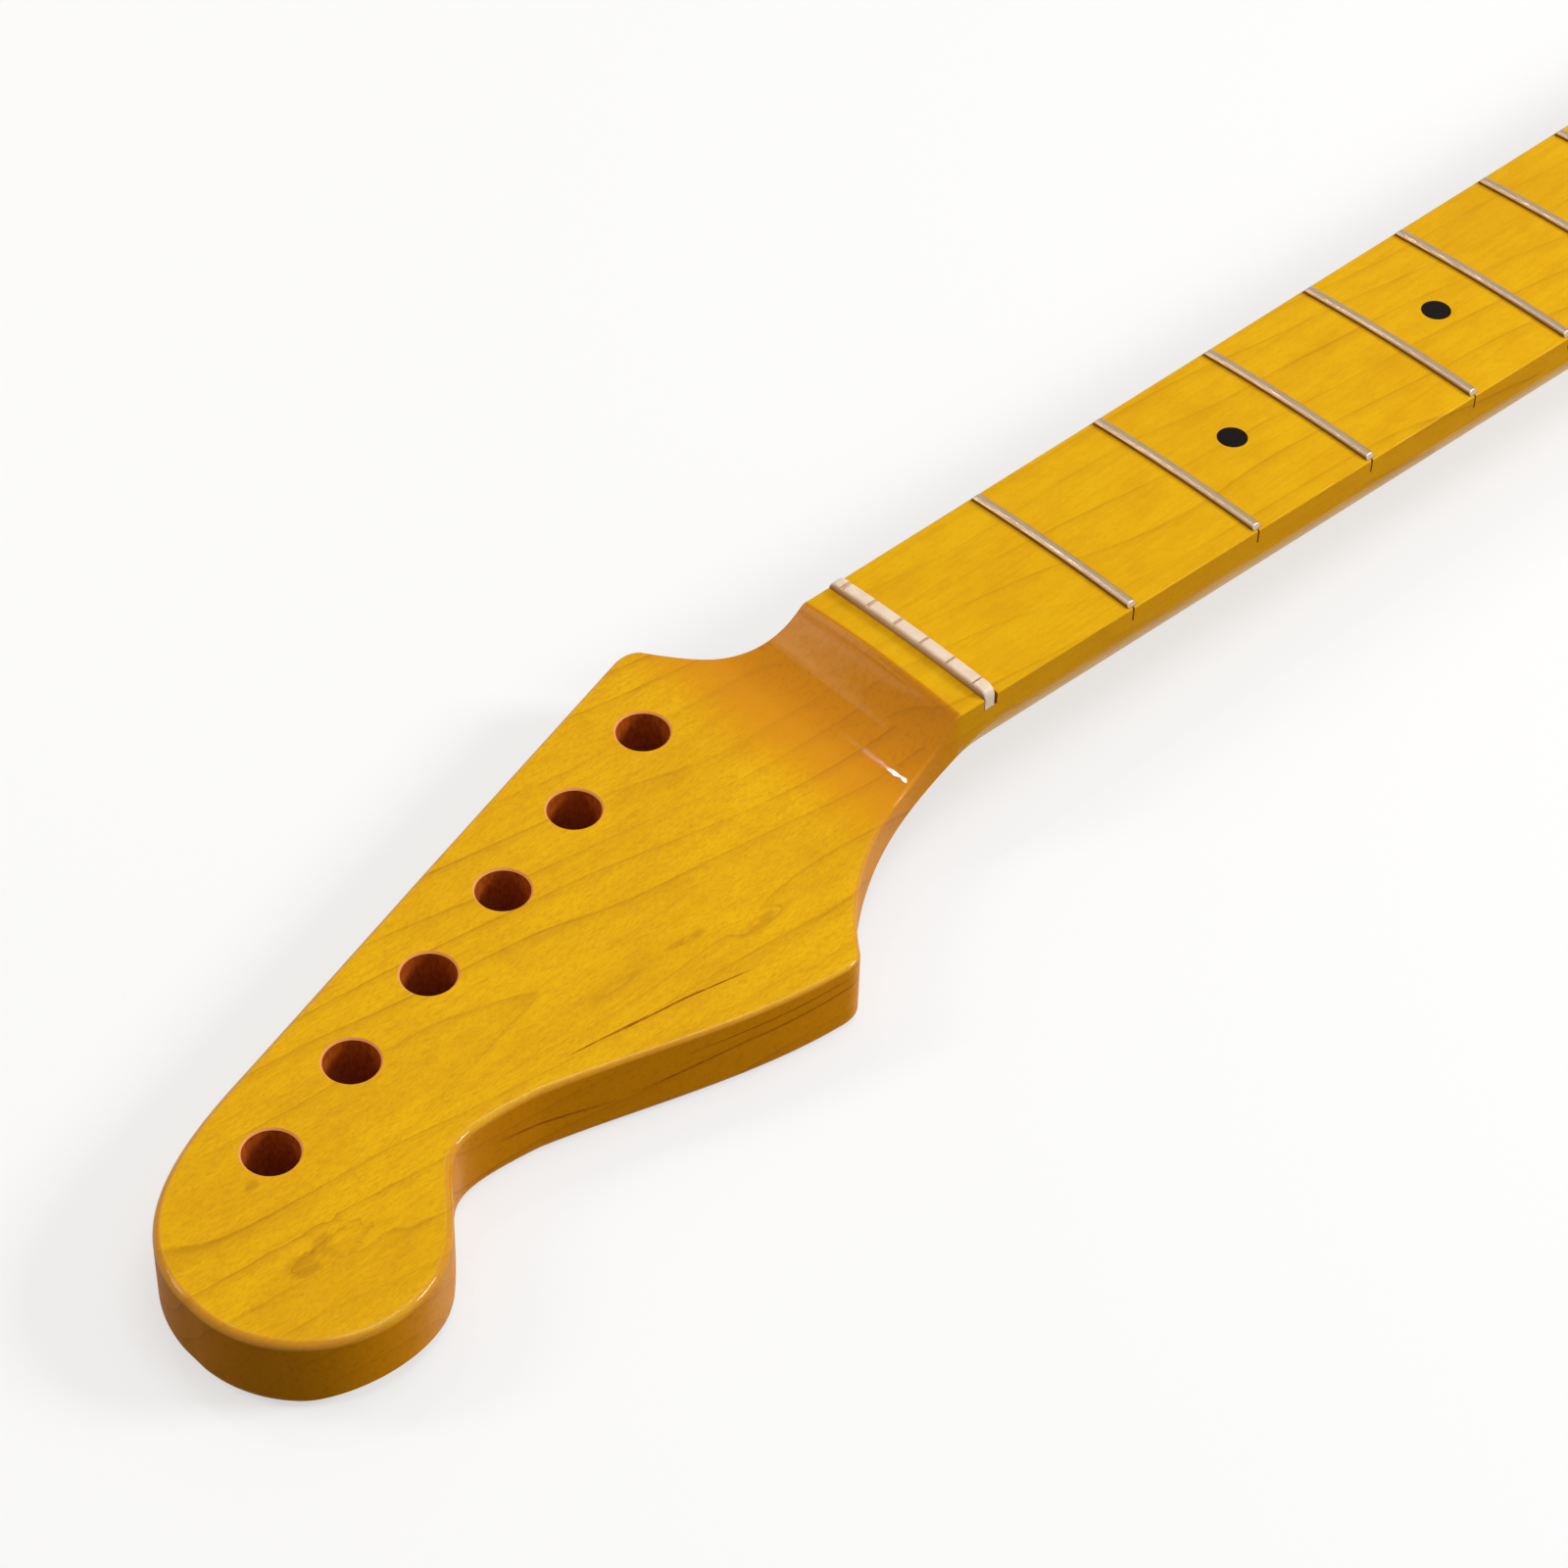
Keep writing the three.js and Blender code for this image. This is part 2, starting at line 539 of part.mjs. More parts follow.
// Shaft and head in one piece, with the rod's channel, the adjuster's bore, and the tuner and screw holes.
function neckBlank(outline, scoop) {
  let wood = plankWithScoop(outline, scoop).intersect(backSpace());
  const channel = boxBetween(
    new THREE.Vector3(ROD_START_X, -ROD_CHANNEL_WIDTH / 2, ROD_FLOOR_Z),
    new THREE.Vector3(ADJUSTER_START_X, ROD_CHANNEL_WIDTH / 2, CROWN_Z),
  );
  const boreStart = new THREE.Vector3(ROD_END_X, 0, ROD_AXIS_Z);
  const boreLength = HEEL_END + OVERRUN - ROD_END_X;
  const bore = bar("x", boreStart, boreLength, ADJUSTER_RADIUS + ADJUSTER_BORE_GAP, HOLE_SIDES);
  wood = wood.subtract(channel).subtract(bore);
  for (const p of tunerPlaces()) {
    const from = new THREE.Vector3(p.x, p.y, -OVERRUN);
    wood = wood.subtract(bar("z", from, HEAD_THICKNESS + 2 * OVERRUN, TUNER_HOLE_RADIUS, HOLE_SIDES));
  }
  for (const p of screwPlaces()) {
    const from = new THREE.Vector3(p.x, p.y, -OVERRUN);
    wood = wood.subtract(
      bar("z", from, SCREW_PILOT_DEPTH + OVERRUN, SCREW_PILOT_RADIUS, SMALL_HOLE_SIDES),
    );
  }
  return wood;
}

// Places of the position marks on the fingerboard's face and along its bass edge.
function markPlaces(spread) {
  const middle = (n) => (fretDistance(n) + fretDistance(n - 1)) / 2;
  const single = SINGLE_MARK_FRETS.map((n) => ({ name: String(n).padStart(2, "0"), x: middle(n), shift: 0 }));
  const double = DOUBLE_MARK_FRETS.flatMap((n) => [
    { name: n + "_bass", x: middle(n), shift: spread / 2 },
    { name: n + "_treble", x: middle(n), shift: -spread / 2 },
  ]);
  return [...single, ...double];
}

function faceMark(place, radius) {
  const from = new THREE.Vector3(place.x, place.shift, CROWN_Z - crownDrop(place.shift) - MARK_DEPTH);
  return bar("z", from, MARK_DEPTH + OVERRUN, radius, HOLE_SIDES);
}

// Side marks lie in the fingerboard's bass edge, halfway down it; a pair lies one after the other.
function sideMark(place, radius) {
  const edge = halfWidth(place.x);
  const z = (BOARD_UNDERSIDE_Z + CROWN_Z - crownDrop(edge)) / 2;
  const from = new THREE.Vector3(place.x + place.shift, edge - SIDE_MARK_DEPTH, z);
  return bar("y", from, SIDE_MARK_DEPTH + OVERRUN, radius, SMALL_HOLE_SIDES);
}

// Fingerboard body without its slots and pockets, also the space that the marks are trimmed to.
function boardBody(outline, scoop) {
  return planPrism(outline, BOARD_UNDERSIDE_Z, CROWN_Z + OVERRUN)
    .intersect(crownSpace())
    .subtract(scoopCutter(scoop));
}

function fingerboard(body) {
  let board = body;
  const across = HEEL_END_WIDTH / 2 + OVERRUN;
  const slot = (fromX, toX, depth) =>
    boxBetween(
      new THREE.Vector3(fromX, -across, CROWN_Z - depth),
      new THREE.Vector3(toX, across, CROWN_Z + OVERRUN),
    );
  for (let n = 1; n <= FRET_COUNT; n++) {
    const x = fretDistance(n);
    board = board.subtract(slot(x - FRET_SLOT_WIDTH / 2, x + FRET_SLOT_WIDTH / 2, FRET_SLOT_DEPTH));
  }
  board = board.subtract(slot(-NUT_THICKNESS - NUT_SEAT_GAP, NUT_FRONT_GAP, NUT_SEAT_DEPTH));
  for (const p of markPlaces(DOUBLE_MARK_SPREAD)) {
    board = board.subtract(faceMark(p, MARK_RADIUS + MARK_GAP));
  }
  for (const p of markPlaces(SIDE_DOUBLE_MARK_SPREAD)) {
    board = board.subtract(sideMark(p, SIDE_MARK_RADIUS + MARK_GAP));
  }
  return board;
}

// One fret: a domed crown over a tang, bent to the fingerboard's radius, with bevelled ends.
function fret(n) {
  const x = fretDistance(n);
  const halfLength = halfWidth(x) - FRET_END_INSET;
  const halfCrown = FRET_CROWN_WIDTH / 2;
  const halfTang = FRET_TANG_WIDTH / 2;
  const dome = FRET_SECTION_SHARES.map(([out, up]) => [out * halfCrown, up * FRET_CROWN_HEIGHT]);
  const rightSide = [
    [halfTang, -FRET_TANG_DEPTH],
    [halfTang, FRET_SEAT_GAP],
    [halfCrown, FRET_SEAT_GAP],
    ...dome.slice(0, -1),
  ];
  const mirrored = rightSide.map(([across, up]) => [-across, up]).reverse();
  const section = [...rightSide, dome.at(-1), ...mirrored];
  const rings = [];
  for (let i = 0; i <= FRET_STEPS; i++) {
    const share = (2 * i) / FRET_STEPS - 1;
    rings.push(
      section.map(([across, up]) => {
        const bevel = Math.max(0, up) * Math.tan(FRET_END_BEVEL) * Math.abs(share);
        const y = share * (halfLength - bevel);
        const turn = Math.asin(y / BOARD_RADIUS);
        const z = CROWN_Z - BOARD_RADIUS + (BOARD_RADIUS + up) * Math.cos(turn);
        return new THREE.Vector3(x + across, y, z);
      }),
    );
  }
  return skinAlongY(rings);
}

// Skin over rings that follow each other along y, capped by fans that suit the T-shaped section.
function skinAlongY(rings) {
  const flat = rings[0].map((p) => new THREE.Vector2(p.x, p.z));
  const count = flat.length;
  const positions = rings.flat().flatMap((p) => [p.x, p.y, p.z]);
  const index = [];
  for (let r = 0; r + 1 < rings.length; r++) {
    for (let i = 0; i < count; i++) {
      const [a, b] = [r * count + i, r * count + ((i + 1) % count)];
      index.push(a, a + count, b, b, a + count, b + count);
    }
  }
  const last = (rings.length - 1) * count;
  THREE.ShapeUtils.triangulateShape(flat, []).forEach(([a, b, c]) => {
    index.push(a, b, c);
    index.push(last + a, last + c, last + b);
  });
  const geometry = new THREE.BufferGeometry();
  geometry.setAttribute("position", new THREE.Float32BufferAttribute(positions, 3));
  geometry.setIndex(index);
  return toSolid(geometry);
}

// String nut: a strip with rounded upper corners at its ends, a top that follows the board, and string slots.
function stringNut() {
  const backX = -NUT_THICKNESS;
  const half = halfWidth(backX);
  const lowZ = CROWN_Z - NUT_SEAT_DEPTH + NUT_SEAT_GAP;
  const shape = new THREE.Shape();
  const topZ = (y) => CROWN_Z + NUT_HEIGHT_ABOVE_BOARD - crownDrop(y);
  const endZ = topZ(half);
  shape.moveTo(-half, lowZ);
  shape.lineTo(half, lowZ);
  shape.lineTo(half, endZ - NUT_END_RADIUS);
  shape.quadraticCurveTo(half, endZ, half - NUT_END_RADIUS, topZ(half - NUT_END_RADIUS));
  for (let i = 1; i < FRET_STEPS; i++) {
    const y = (half - NUT_END_RADIUS) * (1 - (2 * i) / FRET_STEPS);
    shape.lineTo(y, topZ(y));
  }
  shape.lineTo(NUT_END_RADIUS - half, topZ(half - NUT_END_RADIUS));
  shape.quadraticCurveTo(-half, endZ, -half, endZ - NUT_END_RADIUS);
  const geometry = new THREE.ExtrudeGeometry(shape, {
    depth: NUT_THICKNESS,
    bevelEnabled: false,
    curveSegments: CORNER_STEPS,
  });
  // The shape's own axes are turned into across and up, and its depth into the neck's length.
  geometry.rotateX(Math.PI / 2);
  geometry.rotateZ(Math.PI / 2);
  geometry.translate(backX, 0, 0);
  let nut = toSolid(geometry);
  for (let i = 0; i < STRING_COUNT; i++) {
    const share = i / (STRING_COUNT - 1);
    const y = (share - 0.5) * STRING_SPREAD;
    const width = STRING_SLOT_WIDTH_TREBLE + (STRING_SLOT_WIDTH_BASS - STRING_SLOT_WIDTH_TREBLE) * share;
    const floor = topZ(y) - STRING_SLOT_DEPTH;
    nut = nut.subtract(
      boxBetween(
        new THREE.Vector3(backX - OVERRUN, y - width / 2, floor),
        new THREE.Vector3(OVERRUN, y + width / 2, CROWN_Z + OVERRUN),
      ),
    );
  }
  return nut;
}

// Truss rod: a block at each end, a flat bar between them, and a screw through both.
function rodBlock(fromX) {
  const half = ROD_CHANNEL_WIDTH / 2 - ROD_SIDE_GAP;
  const top = BOARD_UNDERSIDE_Z - ROD_BLOCK_TOP_GAP;
  const block = boxBetween(
    new THREE.Vector3(fromX, -half, ROD_FLOOR_Z),
    new THREE.Vector3(fromX + ROD_BLOCK_LENGTH, half, top),
  );
  const from = new THREE.Vector3(fromX - OVERRUN, 0, ROD_AXIS_Z);
  const radius = ROD_SCREW_RADIUS + ROD_RUNNING_GAP / 2;
  return block.subtract(bar("x", from, ROD_BLOCK_LENGTH + 2 * OVERRUN, radius, HOLE_SIDES));
}

function rodBar(fromX, toX) {
  const top = BOARD_UNDERSIDE_Z - ROD_BLOCK_TOP_GAP;
  return boxBetween(
    new THREE.Vector3(fromX, -ROD_BAR_WIDTH / 2, top - ROD_BAR_THICKNESS),
    new THREE.Vector3(toX, ROD_BAR_WIDTH / 2, top),
  );
}

function rodScrew(fromX) {
  const from = new THREE.Vector3(fromX, 0, ROD_AXIS_Z);
  return bar("x", from, ADJUSTER_START_X - fromX, ROD_SCREW_RADIUS, HOLE_SIDES);
}

function rodAdjuster() {
  const from = new THREE.Vector3(ADJUSTER_START_X, 0, ROD_AXIS_Z);
  const barrel = bar("x", from, ADJUSTER_LENGTH, ADJUSTER_RADIUS, HOLE_SIDES);
  const socketFrom = new THREE.Vector3(ADJUSTER_END_X - ADJUSTER_SOCKET_DEPTH, 0, ROD_AXIS_Z);
  const radius = ADJUSTER_SOCKET_WIDTH / 2 / Math.cos(Math.PI / HEX_SIDES);
  return barrel.subtract(bar("x", socketFrom, ADJUSTER_SOCKET_DEPTH + OVERRUN, radius, HEX_SIDES));
}

// Finishes
function finish(color, roughness, metalness) {
  return new THREE.MeshStandardMaterial({ color, roughness, metalness });
}
const shaftMaple = finish(0xd9a01c, 0.28, 0);
const boardMaple = finish(0xe0a81e, 0.28, 0);
const nutBone = finish(0xf0dcc6, 0.45, 0);
const fretNickel = finish(0xcfc4b6, 0.25, 1);
const markBlack = finish(0x17150f, 0.4, 0);
const rodSteel = finish(0x9a9c9e, 0.4, 1);
const blockBrass = finish(0xb99a55, 0.35, 1);

const neck = new THREE.Group();
neck.name = "guitar_neck";
neck.position.set(-HEEL_CENTRE_X, 0, 0);

function addPiece(name, solid, material) {
  const mesh = new THREE.Mesh(toGeometry(solid), material);
  mesh.name = name;
  neck.add(mesh);
}

const outline = planOutline();
const scoop = scoopProfile();
const board = boardBody(outline, scoop);
addPiece("neck_blank", neckBlank(outline, scoop), shaftMaple);
addPiece("fingerboard", fingerboard(board), boardMaple);
addPiece("string_nut", stringNut(), nutBone);
for (let n = 1; n <= FRET_COUNT; n++) addPiece("fret_" + String(n).padStart(2, "0"), fret(n), fretNickel);
for (const p of markPlaces(DOUBLE_MARK_SPREAD)) {
  addPiece("face_mark_" + p.name, faceMark(p, MARK_RADIUS).intersect(board), markBlack);
}
for (const p of markPlaces(SIDE_DOUBLE_MARK_SPREAD)) {
  addPiece("side_mark_" + p.name, sideMark(p, SIDE_MARK_RADIUS).intersect(board), markBlack);
}
const headBlockX = ROD_START_X + ROD_SIDE_GAP;
const heelBlockX = ROD_END_X - ROD_BLOCK_LENGTH;
addPiece("rod_block_head", rodBlock(headBlockX), blockBrass);
addPiece("rod_block_heel", rodBlock(heelBlockX), blockBrass);
addPiece("rod_flat_bar", rodBar(headBlockX + ROD_BLOCK_LENGTH, heelBlockX), rodSteel);
addPiece("rod_screw", rodScrew(headBlockX), rodSteel);
addPiece("rod_adjuster", rodAdjuster(), rodSteel);

export default neck;
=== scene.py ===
import math

import bmesh
import bpy
import numpy as np
from mathutils import Matrix, Vector

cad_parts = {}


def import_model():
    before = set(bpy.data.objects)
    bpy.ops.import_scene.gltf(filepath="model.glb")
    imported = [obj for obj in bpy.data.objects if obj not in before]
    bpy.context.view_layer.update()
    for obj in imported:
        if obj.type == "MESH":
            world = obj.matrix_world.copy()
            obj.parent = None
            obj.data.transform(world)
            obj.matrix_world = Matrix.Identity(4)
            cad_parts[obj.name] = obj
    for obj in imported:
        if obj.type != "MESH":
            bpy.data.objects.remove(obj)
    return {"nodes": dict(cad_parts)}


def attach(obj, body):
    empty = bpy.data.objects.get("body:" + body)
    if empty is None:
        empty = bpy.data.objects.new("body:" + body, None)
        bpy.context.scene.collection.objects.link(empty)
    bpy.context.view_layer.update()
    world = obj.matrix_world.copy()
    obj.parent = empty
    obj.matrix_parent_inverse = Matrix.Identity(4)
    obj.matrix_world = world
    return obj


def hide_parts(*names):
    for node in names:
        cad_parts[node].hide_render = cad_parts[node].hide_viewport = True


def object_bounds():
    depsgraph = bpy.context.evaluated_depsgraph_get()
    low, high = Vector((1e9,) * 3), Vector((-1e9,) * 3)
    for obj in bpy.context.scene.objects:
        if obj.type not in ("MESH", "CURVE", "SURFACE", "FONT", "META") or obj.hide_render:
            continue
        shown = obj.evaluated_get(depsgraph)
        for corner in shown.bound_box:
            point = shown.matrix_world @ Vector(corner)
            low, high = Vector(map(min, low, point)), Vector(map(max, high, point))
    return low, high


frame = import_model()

BOX_AT_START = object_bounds()
MM = 0.001

# Scale, plan and depths, as in the solids. The fret slots and tangs are finer here.
SCALE_LENGTH = 647.7
FRET_COUNT = 21
SINGLE_MARK_FRETS = (3, 5, 7, 9, 15, 17, 19, 21)
DOUBLE_MARK_FRET = 12
NUT_END_WIDTH = 42.0
HEEL_END_WIDTH = 55.6
HEEL_PAST_LAST_FRET = 8.4
HEEL_CORNER_RADIUS = 4.0
HEEL_FLAT_LENGTH = 76.0
HEEL_RAMP_LENGTH = 34.0
HEEL_DEPTH = 25.4
SHAFT_DEPTH_AT_NUT = 21.4
SHAFT_DEPTH_AT_HEEL = 23.9
SHAFT_SIDE_DEPTH = 4.1
SHAFT_SIDE_SPARE = 0.3
SHAFT_ROUNDNESS = 2.1
HEEL_ROUNDNESS = 16.0
BACK_EDGE_RADIUS = 1.2
BOARD_THICKNESS = 6.0
BOARD_RADIUS = 406.4
BOARD_EDGE_RADIUS = 0.45
SHELF_LENGTH = 9.0
SHELF_EDGE_SOFTNESS = 1.1
SHELF_EDGE_REACH = (-2.4, 1.6)
FRET_SLOT_WIDTH = 0.45
FRET_SLOT_DEPTH = 3.8
FRET_CROWN_WIDTH = 2.4
FRET_CROWN_HEIGHT = 1.05
FRET_FOOT_SHARE = 0.2
FRET_DOME_POWER = 0.85
FRET_TANG_WIDTH = 0.36
FRET_TANG_DEPTH = 1.9
FRET_END_INSET = 0.35
FRET_END_BEVEL = math.radians(32)
FRET_END_ROUNDING = 0.3
FRET_ROUNDED_ANGLE = math.radians(40)
NUT_THICKNESS = 2.8
NUT_SEAT_DEPTH = 3.2
NUT_HEIGHT_ABOVE_BOARD = 1.8
NUT_END_RADIUS = 2.0
NUT_EDGE_RADIUS = 0.55
NUT_SIDE_EASING = 0.3
NUT_FRONT_GAP = 0.5
STRING_COUNT = 6
STRING_SPREAD = 35.0
STRING_SLOT_WIDTHS = (0.4, 1.0)
STRING_SLOT_DEPTH = 0.4
MARK_RADIUS = 3.05
MARK_DEPTH = 2.0
DOUBLE_MARK_SPREAD = 28.0
SIDE_MARK_RADIUS = 1.0
SIDE_MARK_DEPTH = 3.0
SIDE_DOUBLE_MARK_SPREAD = 7.0
SEAT_GAP = 0.05

# Head, as in the solids
HEAD_THICKNESS = 15.7
TIP_EDGE_RADIUS = 1.5
TIP_EDGE_SHARES = (0.45, 0.8)
LONG_EDGE_RADIUS = 0.9
HEAD_BACK_EDGE_RADIUS = 2.0
BASS_HORN_CORNER_LENGTH = 4.0
SCOOP_RADIUS = 24.0
FLARE_LENGTH_TREBLE = 63.0
FLARE_LENGTH_BASS = 40.0
FLARE_WIDENING_POWER = 2.0
FLARE_DEEPENING_POWER = 3.7
TUNER_COUNT = 6
TUNER_PITCH = 24.0
TUNER_HOLE_RADIUS = 5.1
TUNER_HOLE_CHAMFER = 0.35
TUNER_ROW_ANGLE = math.radians(17)
FIRST_TUNER = (-48.8, 21.9)
TUNER_EDGE_MARGIN = 14.5
EDGE_BEFORE_FIRST_TUNER = 17.0
BALL_RADIUS = 24.0
BALL_PAST_LAST_TUNER = 6.2
BALL_BESIDE_LAST_TUNER = 17.6
BALL_ANGLES = (math.radians(184), math.radians(312.5))
THROAT_SHARES = ((0.722, 0.63), (0.75, 0.537), (0.625, 0.601))
LONG_EDGE_SHARES = ((0.537, 0.675), (0.433, 0.83), (0.327, 0.858))
TREBLE_HORN_SHARES = ((0.304, 0.868), (0.296, 0.826))
TREBLE_FLARE_SHARES = ((0.253, 0.613), (0.17, 0.381), 0.052)
BASS_FLARE_SHARES = (0.041, (0.114, 0.528), (0.15, 0.76), (0.178, 0.952))
TIP_EDGE_PULL_SHARE = 1.06
TIP_BALL_PULL_SHARE = 0.756
TIP_START_BEFORE_LAST_TUNER_SHARE = 0.36
INSET_CORNER_SHARE = 0.5

# Truss rod's channel and bore, and the body screws' pilot holes
ROD_CHANNEL_WIDTH = 6.4
ROD_CHANNEL_DEPTH = 9.6
ROD_CHANNEL_BEHIND_NUT = 6.0
ROD_SCREW_RADIUS = 2.5
ROD_RUNNING_GAP = 0.3
ADJUSTER_RADIUS = 4.0
ADJUSTER_LENGTH = 14.0
ADJUSTER_SET_BACK = 6.5
ADJUSTER_BORE_GAP = 0.8
SCREW_SPACING_ALONG = 50.8
SCREW_SPACING_ACROSS = 38.1
SCREW_PILOT_RADIUS = 1.6
SCREW_PILOT_DEPTH = 15.0
OVERRUN = 5.0

# Steps of the fine surfaces
CURVE_STEPS = 40
ARC_STEPS = 90
CORNER_STEPS = 10
EDGE_STEPS = 8
SCOOP_STEPS = 40
SHELF_EDGE_STEPS = 20
BACK_STEPS = 56
BACK_STATION = 2.0
SHAFT_STATIONS = 12
CROWN_STEPS = 24
BOARD_STATION = 6.0
FRET_STEPS = 40
FRET_DOME_STEPS = 12
HOLE_SIDES = 72
SNAP = 0.3
MERGE_DISTANCE = 0.001
SMOOTH_ANGLE = math.radians(28)

# Camera at the photographed view
CAMERA_PLACE = (-861.4, -411.8, 567.9)
CAMERA_FORWARD = Vector((0.5012, 0.5126, -0.6971))
CAMERA_RIGHT = Vector((0.7307, -0.6823, 0.0236))
CAMERA_LENS = 99.36
SENSOR_WIDTH = 36.0


# Sizes worked out from the ones above
def fret_distance(n):
    return SCALE_LENGTH * (1 - 2 ** (-n / 12))


HEEL_END = fret_distance(FRET_COUNT) + HEEL_PAST_LAST_FRET
HEEL_CENTRE_X = HEEL_END - HEEL_FLAT_LENGTH / 2
WIDTH_GROWTH = (HEEL_END_WIDTH - NUT_END_WIDTH) / 2 / HEEL_END
CROWN_Z = HEEL_DEPTH
BOARD_UNDERSIDE_Z = CROWN_Z - BOARD_THICKNESS
ROW_DIRECTION = np.array([-math.cos(TUNER_ROW_ANGLE), -math.sin(TUNER_ROW_ANGLE)])
ROW_OUTWARD = np.array([ROW_DIRECTION[1], -ROW_DIRECTION[0]])
ROW_LENGTH = (TUNER_COUNT - 1) * TUNER_PITCH


def half_width(x):
    return NUT_END_WIDTH / 2 + WIDTH_GROWTH * x


def crown_drop(y):
    return BOARD_RADIUS - math.sqrt(BOARD_RADIUS**2 - y**2)


def row_point(along, outward):
    return np.array(FIRST_TUNER) + along * ROW_DIRECTION + outward * ROW_OUTWARD


LAST_TUNER = row_point(ROW_LENGTH, 0)
BALL_CENTRE = LAST_TUNER - np.array([BALL_PAST_LAST_TUNER, BALL_BESIDE_LAST_TUNER])
HEAD_LENGTH = BALL_RADIUS - BALL_CENTRE[0]
HEAD_REACH = BALL_RADIUS - BALL_CENTRE[1]


def scoop_length(rise):
    return math.sqrt(SCOOP_RADIUS**2 - (SCOOP_RADIUS - rise) ** 2)


SCOOP_FOOT_X = -SHELF_LENGTH - scoop_length(CROWN_Z - HEAD_THICKNESS)
SCOOP_SEAT_X = SCOOP_FOOT_X + scoop_length(BOARD_UNDERSIDE_Z - HEAD_THICKNESS)
ROD_FLOOR_Z = BOARD_UNDERSIDE_Z - ROD_CHANNEL_DEPTH
ROD_AXIS_Z = ROD_FLOOR_Z + ROD_SCREW_RADIUS + ROD_RUNNING_GAP
ADJUSTER_START_X = HEEL_END - ADJUSTER_SET_BACK - ADJUSTER_LENGTH
ROD_END_X = ADJUSTER_START_X - ROD_RUNNING_GAP


def smoothstep(value, low, high):
    share = min(1.0, max(0.0, (value - low) / (high - low)))
    return share * share * (3 - 2 * share)


def lerp(a, b, share):
    return a + (b - a) * share


# Mesh making
def linked(name, data):
    """A new object in the scene."""
    thing = bpy.data.objects.new(name, data)
    bpy.context.scene.collection.objects.link(thing)
    return thing


def new_object(name, points, faces, material=None):
    mesh = bpy.data.meshes.new(name)
    moved = (np.asarray(points, float) - [HEEL_CENTRE_X, 0, 0]) * MM
    mesh.from_pydata(moved.tolist(), [], faces)
    if material:
        mesh.materials.append(material)
    return linked(name, mesh)


def face_out(thing):
    """Merges points that fall together and turns the faces outwards."""
    shape = bmesh.new()
    shape.from_mesh(thing.data)
    bmesh.ops.remove_doubles(shape, verts=shape.verts, dist=MERGE_DISTANCE * MM)
    bmesh.ops.dissolve_degenerate(shape, edges=shape.edges, dist=MERGE_DISTANCE * MM)
    bmesh.ops.recalc_face_normals(shape, faces=shape.faces)
    shape.to_mesh(thing.data)
    shape.free()
    return thing


def quads(ring_count, count):
    """Faces between rings of points, each with the numbers of its first ring and point."""
    for r in range(ring_count - 1):
        for i in range(count):
            a, b = r * count + i, r * count + (i + 1) % count
            yield r, i, (a, b, b + count, a + count)


def skin(name, rings, material=None):
    """A closed skin over rings that each have as many points."""
    count = len(rings[0])
    points = np.concatenate([np.asarray(ring, float) for ring in rings])
    faces = [quad for _, _, quad in quads(len(rings), count)]
    faces.append(tuple(range(count))[::-1])
    faces.append(tuple(range(len(points) - count, len(points))))
    return face_out(new_object(name, points, faces, material))


def circle(radius, sides):
    turn = np.arange(sides) * 2 * math.pi / sides
    return radius * np.cos(turn), radius * np.sin(turn)


def bar(name, axis, start, length, radius, sides, material, chamfer=0.0):
    """A round bar along an axis. A chamfer widens both ends beyond the given length, as a cutter's flanks."""
    along = "xyz".index(axis)
    across = [k for k in range(3) if k != along]
    stations = [(0, radius), (length, radius)]
    if chamfer:
        wide = radius + chamfer
        stations = [(-OVERRUN, wide), (0, wide), (chamfer, radius)]
        stations += [(length - chamfer, radius), (length, wide), (length + OVERRUN, wide)]
    rings = []
    for at, r in stations:
        ring = np.zeros((sides, 3))
        ring[:, along] = start[along] + at
        for k, offset in zip(across, circle(r, sides)):
            ring[:, k] = start[k] + offset
        rings.append(ring)
    return skin(name, rings, material)


def box(name, low, high, material):
    ring = [(low[0], low[1]), (high[0], low[1]), (high[0], high[1]), (low[0], high[1])]
    return skin(name, [[(x, y, z) for x, y in ring] for z in (low[2], high[2])], material)


def joined(things):
    """One object from several that don't touch, with their materials."""
    first = things[0]
    chosen = {"active_object": first, "selected_objects": things, "selected_editable_objects": things}
    with bpy.context.temp_override(**chosen):
        bpy.ops.object.join()
    return first


def combine(body, tool, operation):
    """Joins or cuts body with tool, which is then removed. Cut faces take the tool's material."""
    change = body.modifiers.new("combine", "BOOLEAN")
    change.operation = operation
    change.solver = "EXACT"
    change.material_mode = "TRANSFER"
    change.object = tool
    depsgraph = bpy.context.evaluated_depsgraph_get()
    mesh = bpy.data.meshes.new_from_object(body.evaluated_get(depsgraph))
    body.modifiers.remove(change)
    old = body.data
    body.data = mesh
    bpy.data.meshes.remove(old)
    bpy.data.objects.remove(tool)
    return body


def smooth(thing):
    """Smooth shading that keeps flat faces flat and edges past the angle sharp."""
    mesh = thing.data
    for face in mesh.polygons:
        face.use_smooth = True
    mesh.set_sharp_from_angle(angle=SMOOTH_ANGLE)
    weighted = thing.modifiers.new("weighted", "WEIGHTED_NORMAL")
    weighted.keep_sharp = True
    return thing


def place(thing, body, material_slot, *nodes):
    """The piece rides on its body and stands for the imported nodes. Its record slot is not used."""
    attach(thing, body)
    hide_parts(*nodes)


# Plan outline
def bezier(start, first, second, end, steps):
    share = np.linspace(0, 1, steps + 1)[1:, None]
    back = 1 - share
    start, first, second, end = (np.asarray(p, float) for p in (start, first, second, end))
    return back**3 * start + 3 * back**2 * share * first + 3 * back * share**2 * second + share**3 * end


def corner(start, tip, end, steps):
    """A quadratic curve round a corner, written as a cubic one."""
    start, tip, end = (np.asarray(p, float) for p in (start, tip, end))
    return bezier(start, start + (tip - start) * 2 / 3, end + (tip - end) * 2 / 3, end, steps)


